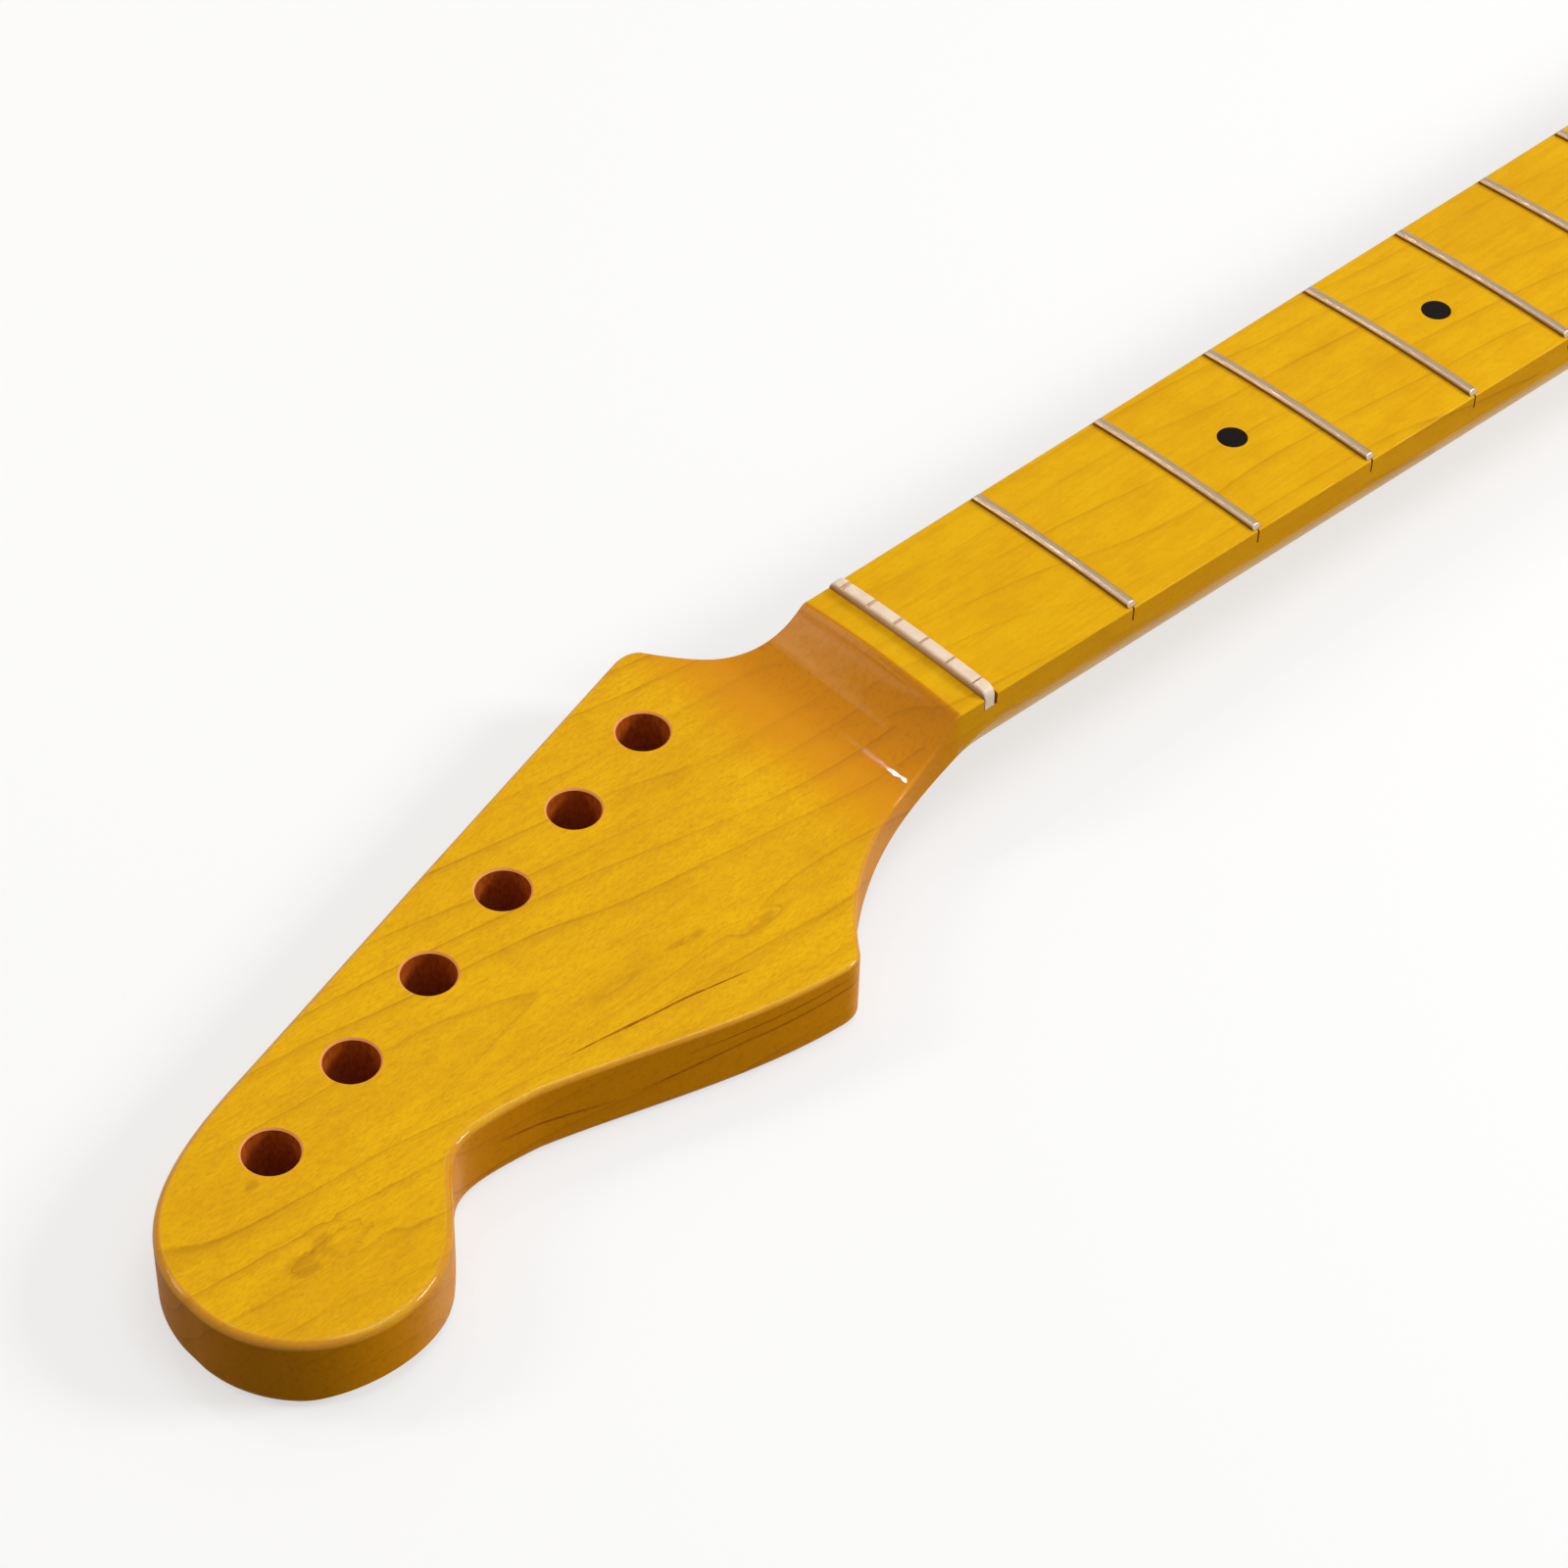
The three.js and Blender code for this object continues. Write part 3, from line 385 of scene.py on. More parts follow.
def arc(centre, radius, start, end, steps):
    turn = np.linspace(start, end, steps + 1)[:, None]
    return np.asarray(centre) + radius * np.hstack([np.cos(turn), np.sin(turn)])


def straight(start, end, step):
    start, end = np.asarray(start, float), np.asarray(end, float)
    count = max(1, int(np.linalg.norm(end - start) / step))
    return start + (end - start) * np.linspace(0, 1, count + 1)[1:, None]


def plan_outline():
    """Outline of all the wood, anticlockwise from the heel's treble corner."""
    def head(share):
        return -share[0] * HEAD_LENGTH, -share[1] * HEAD_REACH

    horn = row_point(-EDGE_BEFORE_FIRST_TUNER, TUNER_EDGE_MARGIN)

    def bass(share):
        return -share[0] * HEAD_LENGTH, share[1] * horn[1]

    corner_x = HEEL_END - HEEL_CORNER_RADIUS
    corner_y = HEEL_END_WIDTH / 2 - HEEL_CORNER_RADIUS
    parts = []
    add = parts.append
    add(arc((corner_x, -corner_y), HEEL_CORNER_RADIUS, -math.pi / 2, 0, CORNER_STEPS))
    add(arc((corner_x, corner_y), HEEL_CORNER_RADIUS, 0, math.pi / 2, CORNER_STEPS))
    flare_x = -BASS_FLARE_SHARES[0] * HEAD_LENGTH
    add(straight(parts[-1][-1], (flare_x, half_width(flare_x)), BOARD_STATION))
    add(bezier(parts[-1][-1], *[bass(s) for s in BASS_FLARE_SHARES[1:]], CURVE_STEPS))
    edge_start = row_point(BASS_HORN_CORNER_LENGTH - EDGE_BEFORE_FIRST_TUNER, TUNER_EDGE_MARGIN)
    add(corner(parts[-1][-1], horn, edge_start, CORNER_STEPS))
    tip_along = ROW_LENGTH - TIP_START_BEFORE_LAST_TUNER_SHARE * BALL_RADIUS
    tip_start = row_point(tip_along, TUNER_EDGE_MARGIN)
    add(straight(edge_start, tip_start, BOARD_STATION))
    ball_start = arc(BALL_CENTRE, BALL_RADIUS, *BALL_ANGLES, 1)[0]
    ball_tangent = np.array([math.sin(BALL_ANGLES[0]), -math.cos(BALL_ANGLES[0])])
    tip_pull = tip_start + TIP_EDGE_PULL_SHARE * BALL_RADIUS * ROW_DIRECTION
    ball_pull = ball_start + TIP_BALL_PULL_SHARE * BALL_RADIUS * ball_tangent
    add(bezier(tip_start, tip_pull, ball_pull, ball_start, CURVE_STEPS))
    add(arc(BALL_CENTRE, BALL_RADIUS, *BALL_ANGLES, ARC_STEPS)[1:])
    add(bezier(parts[-1][-1], *[head(s) for s in THROAT_SHARES], CURVE_STEPS))
    add(bezier(parts[-1][-1], *[head(s) for s in LONG_EDGE_SHARES], CURVE_STEPS))
    add(corner(parts[-1][-1], *[head(s) for s in TREBLE_HORN_SHARES], CORNER_STEPS))
    treble_x = -TREBLE_FLARE_SHARES[2] * HEAD_LENGTH
    flare = [head(s) for s in TREBLE_FLARE_SHARES[:2]]
    add(bezier(parts[-1][-1], *flare, (treble_x, -half_width(treble_x)), CURVE_STEPS))
    add(straight(parts[-1][-1], (corner_x, -half_width(corner_x)), BOARD_STATION)[:-1])
    return np.concatenate(parts)


def inset(outline, distances):
    before = outline - np.roll(outline, 1, axis=0)
    after = np.roll(outline, -1, axis=0) - outline
    before /= np.linalg.norm(before, axis=1)[:, None]
    after /= np.linalg.norm(after, axis=1)[:, None]
    inward = np.stack([-before[:, 1] - after[:, 1], before[:, 0] + after[:, 0]], axis=1)
    inward /= np.linalg.norm(inward, axis=1)[:, None]
    stretch = np.maximum(INSET_CORNER_SHARE, inward[:, 1] * after[:, 0] - inward[:, 0] * after[:, 1])
    return outline + inward * (np.asarray(distances) / stretch)[:, None]


# Upper side of the wood: the head's face, the scoop and the fingerboard's crown
def scoop_height(x):
    run = min(max(x, SCOOP_FOOT_X), SCOOP_FOOT_X + SCOOP_RADIUS) - SCOOP_FOOT_X
    return HEAD_THICKNESS + SCOOP_RADIUS - math.sqrt(SCOOP_RADIUS**2 - run**2)


def upper_height(x, y):
    """The lower of the scoop and the crown, with the edge between them eased."""
    scoop, crown = scoop_height(x), CROWN_Z - crown_drop(y)
    share = min(1, max(0, 0.5 + (crown - scoop) / 2 / SHELF_EDGE_SOFTNESS))
    return lerp(crown, scoop, share) - SHELF_EDGE_SOFTNESS * share * (1 - share)


def upper_edge_radius(x):
    """How the upper edges are rounded: most at the tip, least along the fingerboard."""
    if x < SCOOP_FOOT_X:
        return lerp(LONG_EDGE_RADIUS, TIP_EDGE_RADIUS, smoothstep(-x / HEAD_LENGTH, *TIP_EDGE_SHARES))
    return lerp(LONG_EDGE_RADIUS, BOARD_EDGE_RADIUS, smoothstep(x, SCOOP_FOOT_X, -SHELF_LENGTH))


def with_crossings(outline, places):
    """The outline with a point wherever it crosses a place along the neck, and those points' numbers.

    The bass side's number comes first.
    """
    points, crossings = [], [[] for _ in places]
    for p, q in zip(outline, np.roll(outline, -1, axis=0)):
        if all(abs(p[0] - x) > SNAP / 2 for x in places):
            points.append(p)
        crossed = [(k, x) for k, x in enumerate(places) if (p[0] - x) * (q[0] - x) < 0]
        for k, x in sorted(crossed, key=lambda pair: abs(pair[1] - p[0])):
            crossings[k].append(len(points))
            points.append(p + (q - p) * (x - p[0]) / (q[0] - p[0]))
    return np.array(points), [sorted(pair, key=lambda i: -points[i][1]) for pair in crossings]


def row_places():
    """Places along the neck where a row of points crosses the upper side."""
    edge = -SHELF_LENGTH + np.linspace(*SHELF_EDGE_REACH, SHELF_EDGE_STEPS)
    corner_x = HEEL_END - HEEL_CORNER_RADIUS
    turn = (np.arange(CORNER_STEPS - 2) + 0.5) * math.pi / 2 / CORNER_STEPS
    scoop = np.linspace(SCOOP_FOOT_X, edge[0], SCOOP_STEPS + 1)[:-1]
    board = np.linspace(edge[-1], corner_x, int(HEEL_END / BOARD_STATION))[1:-1]
    return [*scoop, *edge, *board, *(corner_x + HEEL_CORNER_RADIUS * np.sin(turn))]


def wood_body(outline, material, rim_material):
    """All the wood from tip to heel, before its back is shaped and the fingerboard is cut off.

    The head's rounded upper edge has its own material.
    """
    points, crossings = with_crossings(outline, row_places())
    back_radii = [HEAD_BACK_EDGE_RADIUS if p[0] < 0 else BACK_EDGE_RADIUS for p in points]
    upper_radii = [upper_edge_radius(p[0]) for p in points]

    def ring(step, radii, height, way):
        turn = step / EDGE_STEPS * math.pi / 2
        radii = np.array(radii)
        moved = inset(points, radii * (1 - math.cos(turn)))
        z = [height(*p) + way * r * (1 - math.sin(turn)) for p, r in zip(moved, radii)]
        return np.column_stack([moved, z])

    rings = [ring(k, back_radii, lambda x, y: 0.0, 1) for k in range(EDGE_STEPS, -1, -1)]
    rings += [ring(k, upper_radii, upper_height, -1) for k in range(EDGE_STEPS + 1)]
    count = len(points)
    vertices = list(np.concatenate(rings))
    faces = [tuple(range(count))[::-1]]
    rim = []
    for r, i, quad in quads(len(rings), count):
        if r > EDGE_STEPS and points[i][0] < -SHELF_LENGTH:
            rim.append(len(faces))
        faces.append(quad)
    last = (len(rings) - 1) * count
    rows = []
    for bass, treble in crossings:
        start, end = vertices[last + bass], vertices[last + treble]
        row = [last + bass]
        for k in range(1, CROWN_STEPS):
            x, y = (lerp(start[i], end[i], k / CROWN_STEPS) for i in (0, 1))
            row.append(len(vertices))
            vertices.append(np.array([x, y, upper_height(x, y)]))
        rows.append([*row, last + treble])

    def walk(start, end):
        return [last + (start + i) % count for i in range((end - start) % count + 1)]

    faces.append(tuple(walk(*crossings[0]) + rows[0][-2:0:-1]))
    faces.append(tuple(walk(crossings[-1][1], crossings[-1][0]) + rows[-1][1:-1]))
    for k in range(len(rows) - 1):
        far, near = rows[k], rows[k + 1]
        faces.append(tuple(walk(crossings[k + 1][0], crossings[k][0]) + [far[1], near[1]]))
        faces.append(tuple(walk(crossings[k][1], crossings[k + 1][1]) + [near[-2], far[-2]]))
        for j in range(1, CROWN_STEPS - 1):
            faces.append((far[j], far[j + 1], near[j + 1], near[j]))
    thing = new_object("wood", vertices, faces, material)
    thing.data.materials.append(rim_material)
    for number in rim:
        thing.data.polygons[number].material_index = 1
    return face_out(thing)


def back_space():
    """The space that the back may fill: flared at the head, round along the shaft, square at the heel."""
    ramp_end = HEEL_END - HEEL_FLAT_LENGTH
    ramp_start = ramp_end - HEEL_RAMP_LENGTH
    side_z = CROWN_Z - SHAFT_SIDE_DEPTH
    deep = HEEL_DEPTH + OVERRUN

    def section(x):
        square = smoothstep(x, ramp_start, ramp_end)
        power = 2 / lerp(SHAFT_ROUNDNESS, HEEL_ROUNDNESS, square)
        shaft_depth = lerp(SHAFT_DEPTH_AT_NUT, SHAFT_DEPTH_AT_HEEL, x / HEEL_END)
        ring = []
        for i in range(BACK_STEPS + 1):
            turn = math.pi * i / BACK_STEPS
            length = lerp(FLARE_LENGTH_TREBLE, FLARE_LENGTH_BASS, smoothstep(i / BACK_STEPS, 0, 1))
            spread = min(1, max(0, -x / length))
            widening = HEAD_REACH * spread**FLARE_WIDENING_POWER + OVERRUN * square**2
            deepening = (deep - shaft_depth) * (spread**FLARE_DEEPENING_POWER + square)
            half = half_width(x) + SHAFT_SIDE_SPARE + widening
            across = math.copysign(abs(math.cos(turn)) ** power, math.cos(turn))
            down = (shaft_depth + deepening - SHAFT_SIDE_DEPTH) * abs(math.sin(turn)) ** power
            ring.append((x, -half * across, side_z - down))
        ring.append((x, ring[-1][1], CROWN_Z + OVERRUN))
        ring.append((x, ring[0][1], CROWN_Z + OVERRUN))
        return ring

    stations = [-HEAD_LENGTH - OVERRUN, *np.arange(-FLARE_LENGTH_TREBLE, 0, BACK_STATION)]
    stations += [*np.linspace(0, ramp_start, SHAFT_STATIONS)]
    stations += [*np.arange(ramp_start, ramp_end, BACK_STATION)[1:], ramp_end, HEEL_END + OVERRUN]
    return skin("back_space", [section(x) for x in stations])


# Wood pieces
def board_room(material):
    """The room that the fingerboard's wood is taken from."""
    across = HEAD_REACH + OVERRUN
    low = (SCOOP_SEAT_X - OVERRUN, -across, BOARD_UNDERSIDE_Z)
    return box("board_room", low, (HEEL_END + OVERRUN, across, CROWN_Z + OVERRUN), material)


def neck_wood(outline, wood, rim_wood, hole_wood):
    body = combine(wood_body(outline, wood, rim_wood), board_room(wood), "DIFFERENCE")
    body.name = "neck_wood"
    body = combine(body, back_space(), "INTERSECT")
    low = (ROD_CHANNEL_BEHIND_NUT, -ROD_CHANNEL_WIDTH / 2, ROD_FLOOR_Z)
    holes = [box("channel", low, (ADJUSTER_START_X, ROD_CHANNEL_WIDTH / 2, CROWN_Z), hole_wood)]
    for i in range(TUNER_COUNT):
        start = (*row_point(i * TUNER_PITCH, 0), 0)
        size = (HEAD_THICKNESS, TUNER_HOLE_RADIUS, HOLE_SIDES)
        holes.append(bar("hole", "z", start, *size, hole_wood, TUNER_HOLE_CHAMFER))
    for along in (-1, 1):
        for across in (-1, 1):
            x = HEEL_CENTRE_X + along * SCREW_SPACING_ALONG / 2
            start = (x, across * SCREW_SPACING_ACROSS / 2, -OVERRUN)
            size = (SCREW_PILOT_DEPTH + OVERRUN, SCREW_PILOT_RADIUS, HOLE_SIDES // 2)
            holes.append(bar("pilot", "z", start, *size, hole_wood))
    body = combine(body, joined(holes), "DIFFERENCE")
    start = (ROD_END_X, 0, ROD_AXIS_Z)
    length = HEEL_END + OVERRUN - ROD_END_X
    bore = bar("bore", "x", start, length, ADJUSTER_RADIUS + ADJUSTER_BORE_GAP, HOLE_SIDES, hole_wood)
    body = combine(body, bore, "DIFFERENCE")
    place(smooth(body), "neck", "shaft_wood", "neck_blank")


def mark_places(spread):
    def middle(n):
        return (fret_distance(n) + fret_distance(n - 1)) / 2

    places = [(f"{n:02d}", middle(n), 0.0) for n in SINGLE_MARK_FRETS]
    places.append((f"{DOUBLE_MARK_FRET}_bass", middle(DOUBLE_MARK_FRET), spread / 2))
    places.append((f"{DOUBLE_MARK_FRET}_treble", middle(DOUBLE_MARK_FRET), -spread / 2))
    return places


def side_mark_start(x, shift):
    edge = half_width(x)
    z = (BOARD_UNDERSIDE_Z + CROWN_Z - crown_drop(edge)) / 2
    return x + shift, edge - SIDE_MARK_DEPTH, z


def fingerboard(outline, wood, rim_wood, slot_wood):
    body = combine(wood_body(outline, wood, rim_wood), board_room(wood), "INTERSECT")
    body.name = "fingerboard_wood"
    across = HEEL_END_WIDTH / 2 + OVERRUN
    top = CROWN_Z + OVERRUN
    cuts = []
    for n in range(1, FRET_COUNT + 1):
        x, half = fret_distance(n), FRET_SLOT_WIDTH / 2
        low = (x - half, -across, CROWN_Z - FRET_SLOT_DEPTH)
        cuts.append(box("slot", low, (x + half, across, top), slot_wood))
    floor = CROWN_Z - NUT_SEAT_DEPTH
    low = (-NUT_THICKNESS - SEAT_GAP, -across, floor)
    cuts.append(box("seat", low, (NUT_FRONT_GAP, across, top), slot_wood))
    for _, x, y in mark_places(DOUBLE_MARK_SPREAD):
        start = (x, y, CROWN_Z - crown_drop(y) - MARK_DEPTH)
        size = (MARK_DEPTH + OVERRUN, MARK_RADIUS + SEAT_GAP, HOLE_SIDES)
        cuts.append(bar("pocket", "z", start, *size, slot_wood))
    for _, x, shift in mark_places(SIDE_DOUBLE_MARK_SPREAD):
        size = (SIDE_MARK_DEPTH + OVERRUN, SIDE_MARK_RADIUS + SEAT_GAP, HOLE_SIDES // 2)
        cuts.append(bar("pocket", "y", side_mark_start(x, shift), *size, slot_wood))
    body = combine(body, joined(cuts), "DIFFERENCE")
    place(smooth(body), "neck", "board_wood", "fingerboard")


# Frets, nut and marks
def fret(n, metal):
    """A domed crown over a tang, bent to the fingerboard, its ends bevelled and eased."""
    x = fret_distance(n)
    half_length = half_width(x) - FRET_END_INSET
    half_crown, half_tang = FRET_CROWN_WIDTH / 2, FRET_TANG_WIDTH / 2
    foot = FRET_CROWN_HEIGHT * FRET_FOOT_SHARE
    section = [(half_tang, -FRET_TANG_DEPTH), (half_tang, SEAT_GAP), (half_crown, SEAT_GAP)]
    for angle in np.linspace(0, math.pi, FRET_DOME_STEPS + 1):
        up = foot + (FRET_CROWN_HEIGHT - foot) * math.sin(angle) ** FRET_DOME_POWER
        section.append((half_crown * math.cos(angle), up))
    section += [(-half_crown, SEAT_GAP), (-half_tang, SEAT_GAP), (-half_tang, -FRET_TANG_DEPTH)]
    rings = []
    for share in np.linspace(-1, 1, FRET_STEPS + 1):
        ring = []
        for across, up in section:
            bevel = max(0, up) * math.tan(FRET_END_BEVEL) * abs(share)
            y = share * (half_length - bevel)
            turn = math.asin(y / BOARD_RADIUS)
            ring.append((x + across, y, CROWN_Z - BOARD_RADIUS + (BOARD_RADIUS + up) * math.cos(turn)))
        rings.append(ring)
    thing = skin(f"fret_wire_{n:02d}", rings, metal)
    rounding = thing.modifiers.new("easing", "BEVEL")
    rounding.width = FRET_END_ROUNDING * MM / 2
    rounding.segments = 2
    rounding.limit_method = "ANGLE"
    rounding.angle_limit = FRET_ROUNDED_ANGLE
    place(smooth(thing), "neck", "frets", f"fret_{n:02d}")


def string_nut(bone, shaded_groove_bone):
    """A strip whose long upper edges and ends are rounded, with a shallow groove for each string, its cut
    faces a darker bone as painted shade.
    """
    half = half_width(-NUT_THICKNESS)
    low = CROWN_Z - NUT_SEAT_DEPTH + SEAT_GAP

    def top(y):
        return CROWN_Z + NUT_HEIGHT_ABOVE_BOARD - crown_drop(y)

    def section(y, drop, narrowing):
        back, front = -NUT_THICKNESS + narrowing, -narrowing
        high = top(y) - drop
        ring = [(back, y, low), (front, y, low)]
        for middle, turns in ((front - NUT_EDGE_RADIUS, (0, 1)), (back + NUT_EDGE_RADIUS, (1, 2))):
            for turn in np.linspace(*turns, EDGE_STEPS + 1) * math.pi / 2:
                x = middle + NUT_EDGE_RADIUS * math.cos(turn)
                ring.append((x, y, high - NUT_EDGE_RADIUS * (1 - math.sin(turn))))
        return ring

    stations = []
    for turn in np.linspace(0, math.pi / 2, CORNER_STEPS + 1)[:-1]:
        y = half - NUT_END_RADIUS * (1 - math.sin(turn))
        drop = NUT_END_RADIUS * (1 - math.cos(turn))
        easing = NUT_SIDE_EASING * (1 - math.cos(min(1, drop / NUT_END_RADIUS) * math.pi / 2))
        stations.append((y, drop, easing))
    stations.append((half, NUT_END_RADIUS, NUT_SIDE_EASING))
    middle = [(y, 0.0, 0.0) for y in np.linspace(-half + NUT_END_RADIUS, half - NUT_END_RADIUS, CROWN_STEPS)]
    ends = [(-y, drop, easing) for y, drop, easing in stations[:0:-1]]
    body = skin("nut_bone", [section(*s) for s in (*ends, *middle, *stations[1:])], bone)
    cuts = []
    for i in range(STRING_COUNT):
        share = i / (STRING_COUNT - 1)
        y = (share - 0.5) * STRING_SPREAD
        half_slot = lerp(*STRING_SLOT_WIDTHS, share) / 2
        low_corner = (-NUT_THICKNESS - OVERRUN, y - half_slot, top(y) - STRING_SLOT_DEPTH)
        # The grooves take a darker bone: painted shade in them.
        cuts.append(box("groove", low_corner, (OVERRUN, y + half_slot, top(0) + OVERRUN), shaded_groove_bone))
    body = combine(body, joined(cuts), "DIFFERENCE")
    place(smooth(body), "neck", "nut", "string_nut")


def face_mark(name, x, y, black):
    start_z = CROWN_Z - crown_drop(y) - MARK_DEPTH
    dx, dy = circle(MARK_RADIUS, HOLE_SIDES)
    top = [CROWN_Z - crown_drop(v) for v in y + dy]
    rings = [np.column_stack([x + dx, y + dy, z]) for z in (np.full(HOLE_SIDES, start_z), top)]
    dot = skin(f"face_dot_{name}", rings, black)
    place(smooth(dot), "neck", "marks", f"face_mark_{name}")


def side_mark(name, x, shift, black):
    px, start_y, pz = side_mark_start(x, shift)
    dx, dz = circle(SIDE_MARK_RADIUS, HOLE_SIDES // 2)
    depths = (np.full(len(dx), start_y), half_width(px + dx))
    rings = [np.column_stack([px + dx, y, pz + dz]) for y in depths]
    dot = skin(f"side_dot_{name}", rings, black)
    place(smooth(dot), "neck", "marks", f"side_mark_{name}")


# Materials
def srgb(red, green, blue):
    """A display colour of 0 to 255 as the linear one that shaders take."""
    values = []
    for v in (red / 255, green / 255, blue / 255):
        values.append(v / 12.92 if v <= 0.04045 else ((v + 0.055) / 1.055) ** 2.4)
    return (*values, 1.0)


# A mix node's two inputs and its output by number, because their names aren't unique
MIX_SOCKETS = {"FLOAT": (2, 3, 0), "RGBA": (6, 7, 2)}


class Shader:
    """The node tree of a new material or world, with short calls for the nodes that are used here."""

    def __init__(self, name, kind=bpy.data.materials, surface="Principled BSDF"):
        self.owner = kind.new(name)
        self.owner.use_nodes = True
        self.tree = self.owner.node_tree
        self.surface = self.tree.nodes[surface]

    def node(self, kind, inputs=None, **settings):
        made = self.tree.nodes.new(kind)
        for key, value in settings.items():
            setattr(made, key, value)
        for key, value in (inputs or {}).items():
            self.feed(made.inputs[key], value)
        return made

    def feed(self, socket, value):
        if isinstance(value, bpy.types.NodeSocket):
            self.tree.links.new(value, socket)
        else:
            socket.default_value = value

    def math(self, operation, a, b=0.0, c=0.0, clamp=False):
        values = {0: a, 1: b, 2: c}
        return self.node("ShaderNodeMath", values, operation=operation, use_clamp=clamp).outputs[0]

    def stretched(self, scale, shift=(0, 0, 0), turn=0.0):
        """Object coordinates in millimetres, turned about z and then times a scale for each axis."""
        values = {
            "Vector": self.node("ShaderNodeTexCoord").outputs["Object"],
            "Location": tuple(v * MM for v in shift),
            "Rotation": (0, 0, turn),
            "Scale": tuple(MM / v for v in scale),
        }
        return self.node("ShaderNodeMapping", values, vector_type="TEXTURE").outputs[0]

    def noise(self, scale, detail, roughness, shift=(0, 0, 0), distortion=0.0, turn=0.0):
        values = {
            "Vector": self.stretched(scale, shift, turn),
            "Scale": 1.0,
            "Detail": detail,
            "Roughness": roughness,
            "Distortion": distortion,
        }
        return self.node("ShaderNodeTexNoise", values).outputs["Fac"]

    def ramp(self, value, low, high, to_low=0.0, to_high=1.0):
        values = {"Value": value, "From Min": low, "From Max": high, "To Min": to_low, "To Max": to_high}
        return self.node("ShaderNodeMapRange", values, interpolation_type="SMOOTHSTEP").outputs[0]

    def times(self, a, b, clamp=False):
        return self.math("MULTIPLY", a, b, clamp=clamp)

    def times_plus(self, a, b, c):
        return self.math("MULTIPLY_ADD", a, b, c)

    def band(self, value, rise, fall, top=1.0):
        """Rises to its top over one range of the value and falls back to 0 over another."""
        return self.times(self.ramp(value, *rise, 0.0, top), self.ramp(value, *fall, 1.0, 0.0))

    def vector_math(self, operation, a, b):
        return self.node("ShaderNodeVectorMath", {0: a, 1: b}, operation=operation).outputs

    def split(self, vector):
        return self.node("ShaderNodeSeparateXYZ", {"Vector": vector}).outputs

    def normal(self):
        """The three parts of the surface's direction."""
        return self.split(self.node("ShaderNodeTexCoord").outputs["Normal"])

    def mix(self, share, a, b, kind="RGBA"):
        first, second, out = MIX_SOCKETS[kind]
        values = {"Factor": share, first: a, second: b}
        return self.node("ShaderNodeMix", values, data_type=kind).outputs[out]

    def bump(self, height, strength, distance, socket="Normal"):
        """The surface's own relief, or that of its coat."""
        values = {"Height": height, "Strength": strength, "Distance": distance * MM}
        self.feed(self.surface.inputs[socket], self.node("ShaderNodeBump", values).outputs[0])

    def set(self, **values):
        for key, value in values.items():
            self.feed(self.surface.inputs[key.replace("_", " ")], value)
        return self.owner


# Colours of the finishes, some of them painted shade or a painted highlight. Where there are two, the finish
# varies between them.
FACE_YELLOW = srgb(233, 179, 3)
BOARD_YELLOW = srgb(227, 174, 14)
RIM_YELLOW = srgb(230, 176, 12)
AMBER = srgb(198, 132, 6)
BROWN = srgb(152, 88, 8)
END_AMBER = srgb(210, 133, 2)
DARK_LINE = srgb(120, 42, 0)
HOLE_RIM_HIGHLIGHT = srgb(236, 156, 92)
HOLE_WOOD = srgb(180, 88, 18), srgb(150, 66, 12)
SLOT_WOOD = srgb(190, 130, 50), srgb(160, 100, 34)
NICKEL = srgb(186, 164, 140), srgb(158, 136, 112)
NICKEL_PAINTED_SHADE = srgb(108, 72, 34)
BONE = srgb(234, 212, 190), srgb(224, 199, 174)
SHADED_GROOVE_BONE = srgb(214, 184, 156), srgb(198, 166, 138)
BONE_PAINTED_SHADE = srgb(150, 104, 62)
MARK_BLACK = srgb(12, 8, 4), srgb(20, 14, 8)
ROD_STEEL = srgb(168, 168, 170), srgb(118, 118, 122)
BLOCK_BRASS = srgb(206, 172, 104), srgb(160, 124, 66)

# Waves over the wood: how many to a millimetre along, across and up, their detail and roughness, and for some
# their distortion and turn about z
RING_WAVES = ((0.008, 0.035, 0.035), 1.5, 0.45)
WOBBLES = ((0.11, 0.3, 0.3), 2.0, 0.6)
LINE_STRENGTHS = ((0.014, 0.06, 0.06), 2.0, 0.6)
CLOUDS = ((0.03, 0.05, 0.05), 2.0, 0.55)
PATCHES = ((0.12, 0.25, 0.25), 2.0, 0.6)
STREAKS = ((0.03, 1.3, 1.3), 3.0, 0.6, 0.0, 0.04)
FLECKS = ((0.75, 3.2, 3.2), 3.0, 0.7, 0.4, 0.2)
DASHES = ((0.3, 1.6, 1.6), 2.0, 0.6, 0.4, -0.2)
PORES = ((0.9, 1.4, 0.9), 3.0, 0.65)
CRACK_GAPS = ((0.5, 0.5, 0.5), 2.0, 0.6)
SURFACE_WAVES = ((0.16, 0.2, 0.2), 2.0, 0.5)
COAT_RIPPLES = ((0.5, 0.35, 0.5), 3.0, 0.55)

# Where the wood is deeper in colour and where its coat is thicker: along the neck, from where to where each
# comes and goes, and how strong the colour is at most
SCOOP_AMBER = ((-43.0, -27.0), (-11.0, -8.0), 0.85)
SCOOP_GLOSS = ((-38.0, -24.0), (-9.5, -8.0))

# Growth lines are the level lines of a slow wave across the neck, drawn out along it. They close round a few
# hills, and their places are in the neck's frame.
RING_SPACING = 9.0
RING_SLANT = 0.11
RING_DIP = 0.8
RING_WAVE_RISE = 3.2
RING_SHADE = 0.21
RING_LINE = 0.33
# Middle of each hill, its reach along and across, and its height in ring spacings
HILLS = (
    ((-96.0, -23.5), (26.0, 4.6), 1.25),
    ((-65.5, -28.8), (7.0, 1.9), 0.75),
    ((-128.0, -24.4), (9.0, 2.4), 0.8),
    ((-169.0, -35.6), (8.0, 2.6), -0.9),
    ((-150.0, -5.0), (22.0, 3.0), 0.4),
)
WAVY_PLACE = ((-168.0, -36.0), (12.0, 5.0))
WAVY_PLACE_RISE = 2.2
